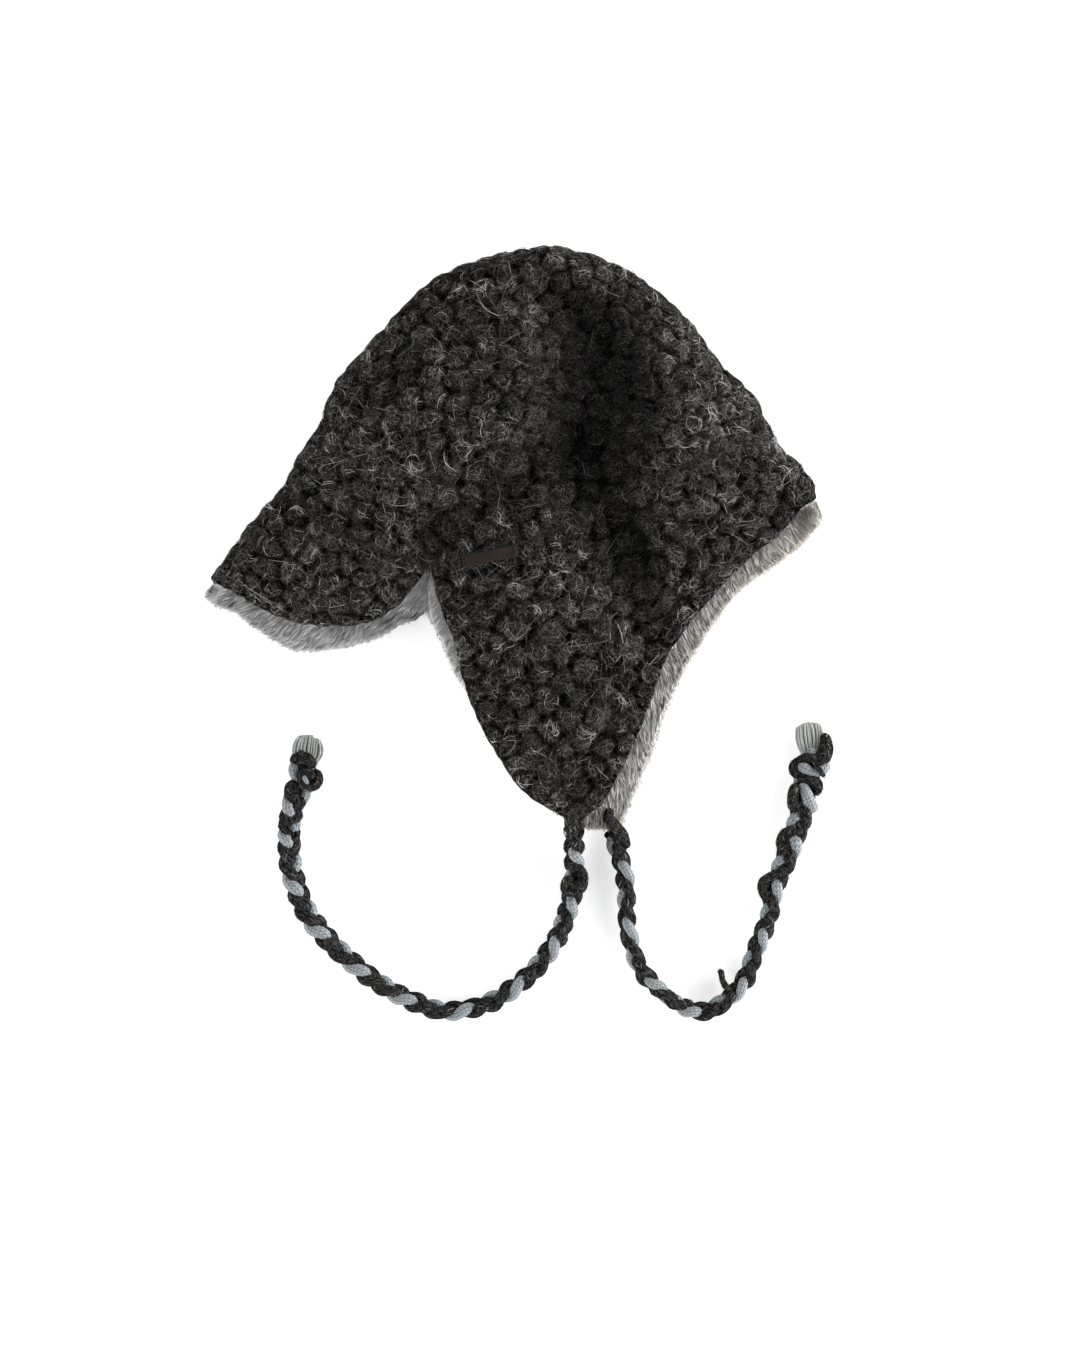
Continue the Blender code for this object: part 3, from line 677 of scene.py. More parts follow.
    def read(self, row, column, way):
        """Points and normals at ways from grid places, how open they are (1 where no painted shade darkens
        them), and which paths stay on it.
        """
        right, down = self.right[row, column][:, None], self.down[row, column][:, None]
        a, b, c = dot(right, right), dot(right, down), dot(down, down)
        det = np.maximum(a * c - b * b, 1e-3)
        along, across = dot(way, right), dot(way, down)
        columns = column[:, None] + np.clip((along * c - across * b) / det, -FURTHEST, FURTHEST)
        rows = row[:, None] + (across * a - along * b) / det
        kept = (rows > 0) & (rows < self.rows - 1)
        if not self.wraps:
            kept &= (columns > 0) & (columns < self.columns - 1)
            columns = np.clip(columns, 0, self.columns - 1.001)
        rows = np.clip(rows, 0, self.rows - 1.001)
        r, c = np.floor(rows).astype(int), np.floor(columns).astype(int)
        u, v = (rows - r)[..., None], (columns - c)[..., None]
        c, c_next = c % self.columns, (c + 1) % self.columns

        def blend(grid):
            return ((grid[r, c] * (1 - v) + grid[r, c_next] * v) * (1 - u)
                    + (grid[r + 1, c] * (1 - v) + grid[r + 1, c_next] * v) * u)

        kept = kept.mean(1) > MOST_ON_SHEET
        return blend(self.grid), unit(blend(self.grid_normals)), blend(self.open_grid)[..., 0], kept


# Bobbles
BOBBLE_SPACE, BOBBLE_HIGH = 10.8, 5.0  # least distance between two bobbles, and their height
BOBBLE_TOP = 0.6  # how far the tops stand above the outline of the CAD
SHOULDER = 5.2  # how far a bobble rises from its furrows
SEAM_HIGH = 0.66  # share of a bobble's height that the brow seam has
SEAM_ROWS, TOP_ROWS = 1.8, 5  # rows of the grid over which the seam and the crown's top flatten the bobbles
FURROW_SHADE = ((0.1, 0.55, 1.15), (0.03, 0.55, 1.0))  # distance to a furrow, and how much of the wool's colour shows through the shade painted there
BOBBLE_SIZE = (0.14, 0.72, 1.35)  # spread, least and greatest of a bobble's size, where 1 is usual
NEIGHBOURS = 7  # bobbles that may have a furrow with the one at a point
WARP_SIZE, FELT_SIZE = 8, 19  # of the lumps that bend the furrows, and of the patches felted over them
LUMPS = ((5.5, 0.35), (2.4, 0.2))  # size and height of the lumps on the bobbles
dice = np.random.default_rng(8)


def tree_of(points):
    tree = KDTree(len(points))
    for i, point in enumerate(points):
        tree.insert(point, i)
    tree.balance()
    return tree


def areas(points, faces):
    """The area of surface round each point."""
    a, b, c, d = (points[faces[:, i]] for i in range(4))
    share = np.linalg.norm(np.cross(c - a, d - b), axis=1) / 8
    total = np.zeros(len(points))
    for i in range(4):
        np.add.at(total, faces[:, i], share)
    return total


def unevenness(points, size):
    """Smooth unevenness of about -1 to 1, with lumps of about a size."""
    waves = unit(dice.normal(size=(12, 3))) * (2 * math.pi / size) * dice.uniform(0.6, 1.4, (12, 1))
    return np.sin(points @ waves.T + dice.uniform(0, 6.28, 12)).sum(1) / 4


class Bobbles:
    """The places and turns of the bobbles on one sheet, which it raises."""

    def __init__(self, sheet):
        grid = sheet.points[: sheet.rows * sheet.columns]
        weights = areas(sheet.points, sheet.faces)[: len(grid)] + 1e-6
        self.centre = self.spread(grid, weights)
        self.count = len(self.centre)
        tree = tree_of(grid)
        at = np.array([tree.find(point)[1] for point in self.centre])
        self.row, self.column, self.near = at // sheet.columns, at % sheet.columns, sheet.near[at]
        self.normal = sheet.normals[at]
        beside = np.clip(self.column + 1, 0, sheet.columns - 1) + self.row * sheet.columns
        ways = grid[beside] - grid[np.maximum(beside - 2, 0)]
        ways = unit(ways - self.normal * dot(ways, self.normal)[:, None])
        turn = dice.uniform(-1, 1, self.count)[:, None]
        self.along = ways * np.cos(turn) + np.cross(self.normal, ways) * np.sin(turn)
        self.across = np.cross(self.normal, self.along)
        spread, least, most = BOBBLE_SIZE
        self.size = dice.normal(1, spread, self.count).clip(least, most)
        self.shade = dice.normal(0, 1, self.count)
        self.raise_sheet(sheet)

    @staticmethod
    def spread(grid, weights):
        """Middles for the bobbles, evenly spread but in no order."""
        free, centres = np.ones(len(grid), bool), []
        for i in dice.permutation(len(grid)):
            if free[i]:
                centres.append(grid[i])
                free &= np.linalg.norm(grid - grid[i], axis=1) > BOBBLE_SPACE
        centres = np.array(centres)
        tree = tree_of(centres)
        nearest = np.array([tree.find(point)[1] for point in grid])
        total = np.bincount(nearest, weights, len(centres))
        middle = np.stack([np.bincount(nearest, weights * part, len(centres)) for part in grid.T], axis=-1)
        return np.where(total[:, None] > 0, middle / np.maximum(total, 1e-9)[:, None], centres)

    def raise_sheet(self, sheet):
        tree = tree_of(self.centre)
        which = np.array([[i for _, i, _ in tree.find_n(point, NEIGHBOURS)] for point in sheet.points])
        warp = np.stack([unevenness(sheet.points, WARP_SIZE) for _ in range(3)], axis=-1)
        spots = sheet.points + warp
        far = np.linalg.norm(spots[:, None] - self.centre[which], axis=2) / self.size[which]
        order = far.argsort(axis=1)
        which, far = np.take_along_axis(which, order, axis=1), np.take_along_axis(far, order, axis=1)
        between = np.linalg.norm(self.centre[which[:, :1]] - self.centre[which[:, 1:]], axis=2)
        edges = (far[:, 1:] ** 2 - far[:, :1] ** 2) / (2 * np.maximum(between, 5))
        edge = 0.35 - np.log(np.exp(-edges).sum(1))
        felted = (unevenness(sheet.points, FELT_SIZE) * 0.55 - 0.05).clip(0, 0.6)
        rise = np.sqrt(1 - (1 - (edge / SHOULDER).clip(0, 1)) ** 2)
        high = BOBBLE_HIGH * ((rise * (1 - 0.10 * (far[:, 0] / 7) ** 2)) * (1 - felted) + felted * 0.9)
        seam = np.exp(-((sheet.seam_far / SEAM_ROWS) ** 2))
        high = high * (1 - seam) + BOBBLE_HIGH * SEAM_HIGH * seam
        if sheet.wraps:
            closed = np.exp(-(((sheet.rows - 1 - sheet.seam_far) / TOP_ROWS) ** 2))
            high = high * (1 - closed) + BOBBLE_HIGH * closed
        uneven = sum(unevenness(sheet.points, size) * height for size, height in LUMPS)
        lift = (high + uneven - BOBBLE_HIGH - 0.3 + BOBBLE_TOP) * sheet.fade
        lift *= 1 - 0.62 * (1 - np.abs(sheet.normals[:, 2])) ** 1.5
        sheet.points = held_above(pulled(sheet.points + sheet.normals * lift[:, None], KNIT_PULL), 0.12)
        # Painted shade along the creases, which darkens the wool's colour on the near side
        crease_shade = np.zeros(len(sheet.points))
        for number, rows in PAINTED_CREASE_SHADE:
            away, _, share = CREASE_LINES[number][-1].away(sheet.points[:, :2])
            shares, crease_shades, widths = np.array(rows, float).T
            wide = np.interp(share, shares, widths)
            crease_shade = np.maximum(crease_shade, np.interp(share, shares, crease_shades) * np.exp(-((away / wide) ** 3)))
        # Painted shade: the wool's colour is darkened in the furrows between bobbles, except where felted
        # patches fill them, along the creases, and a little along the brow seam
        shown = np.interp(edge, *FURROW_SHADE) * (1 - felted) + felted
        sheet.open = shown * np.where(sheet.near, 1 - crease_shade, 1) * (1 - 0.3 * seam)
        sheet.shade = self.shade[which[:, 0]]
        sheet.settle_down()


class Curls:
    """Arcs of fibre on a raised sheet, round places given in each bobble's own axes."""

    def __init__(self, sheet, bobbles, which, offset, radius, start, sweep, growth, steps):
        t = np.linspace(-0.5, 0.5, steps)
        angle = start[:, None] + sweep[:, None] * t
        waver = dice.normal(0, 0.09, len(which))[:, None] * np.sin(8 * t + 3 * start[:, None])
        reach = radius[:, None] * (1 + growth[:, None] * t + waver)
        a, b = offset[:, :1] + reach * np.cos(angle), offset[:, 1:] + reach * np.sin(angle) * 0.85
        way = a[..., None] * bobbles.along[which][:, None] + b[..., None] * bobbles.across[which][:, None]
        places = bobbles.row[which], bobbles.column[which]
        self.paths, self.normals, self.open, self.kept = sheet.read(*places, way)

    def lifted(self, lift):
        """The paths that stay on the sheet, lifted off it."""
        return held_above((self.paths + self.normals * lift[..., None])[self.kept])

    def shades(self, shade, least):
        """The fibres' shades at each point of their paths, with painted shade where they lie over the gaps
        between bobbles and in the creases.
        """
        return (shade[:, None] * np.maximum(self.open, least))[self.kept].clip(0, 1)


# Loose fibres on the knit
FIBRES = {  # near side, light, how many on each bobble, and points along each of them
    "near_fibres": (True, False, 84, 4),
    "near_light_fibres": (True, True, 12, 8),
    "far_fibres": (False, False, 28, 4),
}
WOUND_SHARE = 0.3  # share of the fibres that curl round their own bobble
FIBRE_LONG = (3, 22)  # least and greatest length
THIN, THICK = (0.16, 0.3), (0.22, 0.42)  # least and greatest width of light and of dark fibres
TUFT_FIBRES = (2, 7)  # fewest fibres of a tuft, and one more than the most


def add_fibres(name, sheet, bobbles, near, light, each, steps):
    """Fine fibres that curl over the bobbles of the near or the far side, light ones or dark ones."""
    which = np.repeat(np.flatnonzero(bobbles.near == near), each)
    n = len(which)
    wound = dice.random(n) < WOUND_SHARE
    offset = dice.normal(0, 1, (n, 2)) * np.where(wound, 1.5, 6.5)[:, None]
    radius = np.where(wound, 7.2 * np.sqrt(dice.uniform(0.12, 1, n)), dice.uniform(4, 26, n))
    long = dice.gamma(5, 2.2 if light else 1.5, n).clip(*FIBRE_LONG)
    start = dice.uniform(0, 2 * math.pi, n)
    curls = Curls(sheet, bobbles, which, offset, radius, start, (long / radius).clip(0.2, 2.6),
                  dice.normal(0, 0.5, n), steps)
    t = np.linspace(-1, 1, steps)
    base, ends = dice.gamma(1.6, 0.12, n), dice.gamma(1.2, 0.4, n) * (dice.random(n) < 0.4)
    tilt = dice.uniform(-1, 1, n)
    waves = base[:, None] * (1 + 0.4 * np.sin(7 * t + start[:, None]))
    lift = 0.06 + waves + ends[:, None] * np.maximum(t * tilt[:, None], 0) ** 2
    if light:
        shade, wide, least = dice.beta(1.2, 2.2, n) * 0.64 + 0.4, dice.uniform(*THIN, n), 0.55
    else:
        shade = dice.beta(0.8, 1.5, n) * 0.88 + 0.06 * bobbles.shade[which]
        wide, least = dice.uniform(*THICK, n), 0.1
    twist = curls.normals + dice.normal(0, 0.35, (n, 1, 3))
    add_ribbons(name, "loose_wool", "knit", curls.lifted(lift), wide[curls.kept], twist[curls.kept],
                shade=curls.shades(shade, least))


def add_tufts(name, sheet, bobbles, count, steps=8):
    """Small light tufts of several fibres side by side, scattered over the bobbles."""
    chosen = dice.choice(bobbles.count, count)
    each = dice.integers(*TUFT_FIBRES, count)
    which = np.repeat(chosen, each)
    n = len(which)

    def shared(values, own):
        """A tuft's value for each of its fibres, and how much they differ."""
        return np.repeat(values, each) + dice.normal(0, own, n)

    radius = shared(dice.uniform(4.0, 13, count), 0.9)
    start = shared(dice.uniform(0, 2 * math.pi, count), 0.12)
    offset = np.column_stack([shared(dice.normal(0, 2.5, count), 0.5) for _ in range(2)])
    long = shared(dice.uniform(5, 15, count), 2.5).clip(*FIBRE_LONG)
    curls = Curls(sheet, bobbles, which, offset, radius, start, (long / radius).clip(0.3, 2.6),
                  shared(dice.normal(0, 0.5, count), 0.1), steps)
    t = np.linspace(-1, 1, steps)
    lift = 0.35 + dice.gamma(1.5, 0.25, n)[:, None] * (1 + 0.5 * np.sin(3 * t + start[:, None]))
    shade = shared(dice.uniform(0.55, 0.92, count), 0.08).clip(0.4, 1)
    add_ribbons(name, "loose_wool", "knit", curls.lifted(lift), dice.uniform(*THIN, n)[curls.kept],
                curls.normals[curls.kept], shade=curls.shades(shade, 0.6))


def add_knit(name, sheet, tufts):
    bobbles = Bobbles(sheet)
    knit = add_piece(f"{name}_bobbles", sheet.points, sheet.faces, "bobble_wool", "knit", (f"knit_{name}",),
                     open=sheet.open, shade=sheet.shade)
    if sheet.wraps:
        close_top(knit.data)
    for kind, numbers in FIBRES.items():
        add_fibres(f"{name}_{kind}", sheet, bobbles, *numbers)
    add_tufts(f"{name}_tufts", sheet, bobbles, tufts)


def close_top(mesh):
    """Fills the small ring at the top of the crown."""
    build = bmesh.new()
    build.from_mesh(mesh)
    top = (CROWN_TOP[1] - ORIGIN[1]) * MM
    ring = [edge for edge in build.edges if edge.is_boundary and abs(edge.verts[0].co.y - top) < 0.02]
    bmesh.ops.holes_fill(build, edges=ring)
    build.to_mesh(mesh)
    build.free()


# Columns of the near and the far side, rows, and tufts
add_knit("crown", Sheet(CROWN, 320, 110, 165), 300)
add_knit("flap_band", Sheet(BAND, 190, 64, 150), 190)
add_knit("peak", Sheet(PEAK, 120, 48, 62), 50)

SEAM_FIBRES, STITCH_COUNT, STITCH_LONG, STITCH_WIDE = 1500, 26, 1.7, 0.8
STITCHES = ((-104, 2), (-87.7, -6.4), (-72, -13.5), (-53, -20.5))  # the row of stitches under the brow seam


def add_seam():
    """Fibres that cross the brow seam, and the small light stitches that show under it on the peak."""
    seam, row = Line(NEAR_BROW_SEAM), Line(STITCHES)
    n = SEAM_FIBRES + STITCH_COUNT
    is_stitch = np.arange(n) >= SEAM_FIBRES
    share, even = dice.uniform(0.01, 0.99, n), (np.arange(n) - SEAM_FIBRES) / STITCH_COUNT
    middle = np.where(is_stitch[:, None], row.at(even), seam.at(share))
    ahead = np.where(is_stitch[:, None], row.at(even + 0.01), seam.at(share + 0.004))
    along = unit(ahead - middle + 1e-6)
    across = np.column_stack([-along[:, 1], along[:, 0]])
    turn = np.where(is_stitch, 0.2, dice.uniform(0, 2 * math.pi, n))
    way = along * np.cos(turn)[:, None] + across * np.sin(turn)[:, None]
    side = np.column_stack([-way[:, 1], way[:, 0]])
    long = np.where(is_stitch, STITCH_LONG, dice.uniform(3, 9, n))[:, None, None]
    bend = np.where(is_stitch, 0, dice.normal(0, 1.2, n))[:, None, None]
    t = np.linspace(-0.5, 0.5, 5)[None, :, None]
    middle = middle + across * np.where(is_stitch, 0, dice.normal(0, 1.6, n))[:, None]
    flat = middle[:, None] + way[:, None] * long * t + side[:, None] * bend * (1 - 4 * t * t)
    on = surface(flat.reshape(-1, 2), np.full(n * 5, True)).reshape(n, 5, 3)
    lift = np.where(is_stitch, 0.7, dice.uniform(-1.2, 0.6, n))
    on[..., 2] += lift[:, None]
    shade = np.where(is_stitch, dice.uniform(0.5, 0.64, n), dice.beta(1.0, 1.7, n) * 0.8)
    wide = np.where(is_stitch, STITCH_WIDE, dice.uniform(0.22, 0.4, n))
    twist = np.broadcast_to((0.0, 0.0, 1.0), on.shape) + dice.normal(0, 0.15, (n, 1, 3))
    add_ribbons("brow_seam_fibres", "loose_wool", "knit", on, wide, twist, shade=shade)


add_seam()


# Fur linings
FUR_DEPTH = 9.4  # the fur's face under the hat's outer surface
FUR_RIM = ((-1.2, 2.6), 3.6, 5.0)  # as KNIT_RIM
FUR_LIES = (  # x, y, and the way in which the tips of the hairs point there
    (-165, -32, -0.97, -0.25), (-145, -40, -0.85, -0.5), (-110, -55, -0.72, -0.7), (-72, -50, -0.72, -0.7),
    (-50, -33, -0.6, -0.8), (-40, -55, -0.72, -0.7), (-15, -110, 0.55, -0.83), (45, -152, 0.1, -1),
    (65, -120, 0.25, -0.97), (90, -65, 0.4, -0.92), (125, -20, 0.5, -0.87), (160, 5, 0.6, -0.8),
)


def fur_way(spots):
    table = np.array(FUR_LIES, float)
    far = np.linalg.norm(spots[:, None, :2] - table[:, :2], axis=2)
    return unit((table[:, 2:] / far[..., None] ** 3).sum(1))


NEAR_STRIP = (  # y, and how much of the wide strip of fur shows there
    (-95, 0), (-84, 0.2), (-75, 0.56), (-60, 0.8), (-50, 0.91), (-42, 0.96), (-30, 0.68), (-22, 0.4),
    (-8, 0),
)
FAR_FRONT = ((-130, 0), (-115, 1), (-50, 1), (-42, 0))  # y, and how much of the far fur is hidden there
STRIP_WIDE, STRIP_LEFT = 13, -49  # the strip's width, and where it ends on the left
FAR_FRONT_WIDE, NOTCH_HIDES = 11, (-55, -45, 12)  # width, and middle and size of what the notch hides
STRIP_REACH, RIM_FRONT_BACK = 11, 2.2  # how far the strip comes forward, and the hidden fur's rim stays back
HAIR_PAST = {"near": 0.2, "far": 2.7}  # how far a hair may reach past the outline of its side
NEAR_HAIR_BACK, HAIR_FRONT_BACK = 0.6, 2.4  # how far near hairs and hidden ones stay back from that
HAIR_ROOT = 1.2  # how much of a hair is behind its root
SHORTENINGS, SHORTER = 20, 0.93  # a hair that reaches too far is shortened by steps
HAIR_WIDE, HAIR_POINTS = (0.22, 0.42), 4


def near_strip(points):
    """How far the near fur comes forward along the front edge of the flap, between 0 and 1."""
    away = Line(NEAR_FLAP_FRONT).away(points[:, :2])[0]
    share = from_table(NEAR_STRIP, points[:, 1])
    return share / (1 + np.exp((away - STRIP_WIDE) / 1.2)) / (1 + np.exp((STRIP_LEFT - points[:, 0]) / 0.5))


def far_front(points):
    """Where the far fur is hidden behind the near flap's front edge or in the notch, between 0 and 1."""
    away = Line(FAR_FLAP_FRONT).away(points[:, :2])[0]
    share = from_table(FAR_FRONT, points[:, 1]) / (1 + np.exp((away - FAR_FRONT_WIDE) / 1.2))
    x, y, size = NOTCH_HIDES
    notch = np.exp(-((points[:, 0] - x) / size) ** 2 - ((points[:, 1] - y) / size) ** 2)
    return np.maximum(share, 0.8 * notch)


def add_hairs(name, points, normals, weights, count, edge, near, past, lighter=0.0):
    """Short combed hairs that stand on a surface, most where its weights are high, up to an edge."""
    picks = dice.choice(len(points), count, p=weights / weights.sum())
    normal = normals[picks]
    way = np.column_stack([fur_way(points[picks]), np.zeros(count)])
    way = unit(way - normal * dot(way, normal)[:, None] + 1e-4)
    side = np.cross(normal, way)
    roots = points[picks] + side * dice.normal(0, 0.7, (count, 1)) + way * dice.normal(0, 0.9, (count, 1))
    combed = np.column_stack([dot(roots, side), dot(roots, way) * 0.2, 0 * roots[:, 0]])
    streaks = unevenness(combed, 1.8)
    turn = dice.normal(0, 0.12, count) + 0.26 * unevenness(roots, 13) + 0.14 * unevenness(roots, 5)
    turn = turn[:, None]
    way = way * np.cos(turn) + side * np.sin(turn)
    long, stand = dice.normal(6.2, 0.9, count), dice.uniform(0.2, 1.0, count)
    strip = near_strip(roots) if near else np.zeros(count)
    past = past + (STRIP_REACH * strip - NEAR_HAIR_BACK if near else -HAIR_FRONT_BACK * far_front(roots))
    for _ in range(SHORTENINGS):
        tips = roots + way * (long - HAIR_ROOT - past)[:, None]
        long = np.where(within(tips, edge), long, long * SHORTER)
    t = np.linspace(0, 1, HAIR_POINTS)[None, :, None]
    paths = roots[:, None] - way[:, None] * HAIR_ROOT + way[:, None] * long[:, None, None] * t
    stand = stand * (0.25 + 0.75 * np.abs(normal[:, 2]))
    paths = held_above(paths + normal[:, None] * (0.15 + 1.3 * stand[:, None, None] * np.sin(2.4 * t)))
    # lighter raises the shade: painted light for the shadowed hairs behind the notch, a slightly darker tone
    # on the peak
    shade = 0.455 + lighter - 0.22 * strip + 0.07 * unevenness(roots, 9) + 0.2 * streaks
    shade = (shade + dice.normal(0, 0.14, count)).clip(0, 1)
    outline = np.linalg.norm(roots[:, None, :2] - edge[None], axis=2).min(1)
    nape_edge = np.exp(-((outline / 3) ** 2)) * (roots[:, 0] > 0)
    warmth = (0.1 + roots[:, 0] / 330).clip(0.05, 0.7) + 0.4 * nape_edge
    wide = dice.uniform(*HAIR_WIDE, count)
    add_ribbons(name, "fur_hair", "fur_fabric", paths, wide,
                normal[:, None] + dice.normal(0, 0.3, (count, 1, 3)), shade=shade, warmth=warmth)


class Lining(Sheet):
    """The fur face of a folded piece, which looks inwards, with its rim turned out past the knit."""

    fur = True

    def __init__(self, shape, near_columns, far_columns, rows):
        super().__init__(shape, near_columns, far_columns, rows, FUR_DEPTH, None)
        self.normals = -self.normals
        self.faces = self.faces[:, ::-1]
        self.add_rim(-self.turn, *FUR_RIM)
        lumps = (unevenness(self.points, 12) * 0.35)[:, None]
        self.points = held_above(pulled(self.points + self.normals * lumps, FUR_PULL), 0.3)


def add_lining(name, shape, size, hairs, lighter=0.0):
    lining = Lining(shape, *size)
    add_piece(f"{name}_fur", lining.points, lining.faces, "fur_backing", "fur_fabric", (f"{name}_lining",))
    behind = within(lining.points, PEAK.outline(True)) | within(lining.points, BAND.outline(True))
    rim = np.arange(len(lining.points)) >= lining.rows * lining.columns
    seen = rim | (~lining.near & ~behind)
    weights = areas(lining.points, lining.faces) * np.where(seen, 1, 0.08)
    weights = weights * np.where(lining.near, 0.6, 1)
    for outline, past in HAIR_PAST.items():
        near = outline == "near"
        this = weights * (lining.near == near)
        count = int(hairs * (this.sum() / weights.sum()))
        edge = pulled(shape.outline(near), FUR_PULL)
        add_hairs(f"{name}_{outline}_hairs", lining.points, lining.normals, this, count, edge, near, past,
                  lighter)


NOTCH_FUR = (-50, -12, 62, 53)  # middle x and y, width and height of the fur behind the notch
NOTCH_HILL = (-47, -20, 15, 9.5)  # middle x and y, half width and height of its middle
NOTCH_EDGE = ((-90, 20.0), (0, 20), (0, -42), (-46, -42.5), (-50, -41), (-62, -44.5), (-90, -56))
# The hairs behind the notch are painted lighter, to make up for the shadow that the near layers cast on them
NOTCH_HAIRS, NOTCH_PAINTED_LIGHT = 3300, 0.24


def add_notch_fur():
    """The fur that shows behind the notch, on the inner side of the far brow."""
    x, y, wide, high = NOTCH_FUR
    hill_x, hill_y, hill_wide, hill_high = NOTCH_HILL
    build = bmesh.new()
    bmesh.ops.create_grid(build, x_segments=30, y_segments=30, size=0.5)
    grid = np.array([v.co[:] for v in build.verts])
    faces = np.array([[v.index for v in f.verts] for f in build.faces])
    build.free()
    spots = np.column_stack([x + grid[:, 0] * wide, y + grid[:, 1] * high])
    hill = np.exp(-((spots[:, 0] - hill_x) / hill_wide) ** 2 - ((spots[:, 1] - hill_y) / hill_wide) ** 2)
    lumps = unevenness(np.column_stack([spots, spots[:, 0] * 0]), 12) * 0.3
    top = np.column_stack([spots, FUR_DEPTH + 0.25 + hill_high * hill + lumps])
    add_piece("notch_fur", top, faces, "fur_backing", "fur_fabric")
    weights = np.where((top[:, 0] > -68) & (top[:, 1] < -4), 1, 0.3)
    up = np.tile((0.0, 0.0, 1.0), (len(top), 1))
    add_hairs("notch_hairs", top, up, weights, NOTCH_HAIRS, np.array(NOTCH_EDGE), True, 0, NOTCH_PAINTED_LIGHT)


# Columns of the near and the far side and rows, hairs, and how much lighter they are than usual
add_lining("peak", PEAK, (50, 50, 26), 8600, -0.03)
add_lining("flap_band", BAND, (80, 80, 66), 14500)
add_notch_fur()


# Ties
WOOL, CORD = "strand_wool", "knitted_cord"
STRAND, BRAID_WIDE, BRAID_HIGH = 3.1, 2.9, 1.6  # a strand's radius, and how far it swings to the side and up
BRAID_STRANDS = ((CORD, 1.02, 0.03), (WOOL, 1.06, 0.1), (WOOL, 1.06, 0.1))  # look, girth, unevenness
BRAID_STEP, KNOT_STEP = 1.25, 0.9  # distance between two rings of a strand
STRAND_SIDES, CORE_SIDES, BRAID_FUZZ, KNOT_FUZZ = 10, 12, 5.5, 7  # fuzz is in fibres for each ring
TASSEL_IN, TASSEL_ROUND, TASSEL_BELLY = 3, 2.2, 4  # how far threads run in, how their ends and sides round
LIGHT_SPOTS = {  # where the light strand lies on top, once for each length of the braid
    "near_tie": ((32.7, -173.2), (31.9, -201.9), (24.8, -225), (4.1, -247.5), (-25.9, -263.5),
        (-58.6, -255.2), (-83.3, -239.3), (-104.8, -216.7), (-120.7, -193.6), (-123.5, -166.5),
        (-124.3, -151)),
    "far_tie": ((61.9, -181.8), (63.4, -214.2), (76, -245.6), (99, -262), (126.1, -246.8), (138.9, -220.3),
        (145.8, -192.8), (156.1, -168.5), (161.6, -144.4)),
}
TURNED_OVER = {"near_tie": 99, "far_tie": 3}  # from this light spot on, the braid shows its other side
BRAID_ROLL = {  # share of the tie, and how far the braid is rolled over there, in degrees
    "near_tie": ((0, 40), (0.3, 58), (0.8, 56), (1, 20)),
    "far_tie": ((0, 35), (0.3, 50), (0.35, 55), (0.45, 140), (0.75, 140), (0.88, 165), (1, 165)),
}
TIE_GIRTH = {  # share of the tie, and how much thicker than usual the braid is there
    "near_tie": ((0, 1), (0.6, 1), (0.75, 1.1), (1, 1.08)),
    "far_tie": ((0, 0.94), (0.15, 0.89), (0.45, 0.9), (0.75, 0.92), (0.88, 1.1), (1, 1.16)),
}
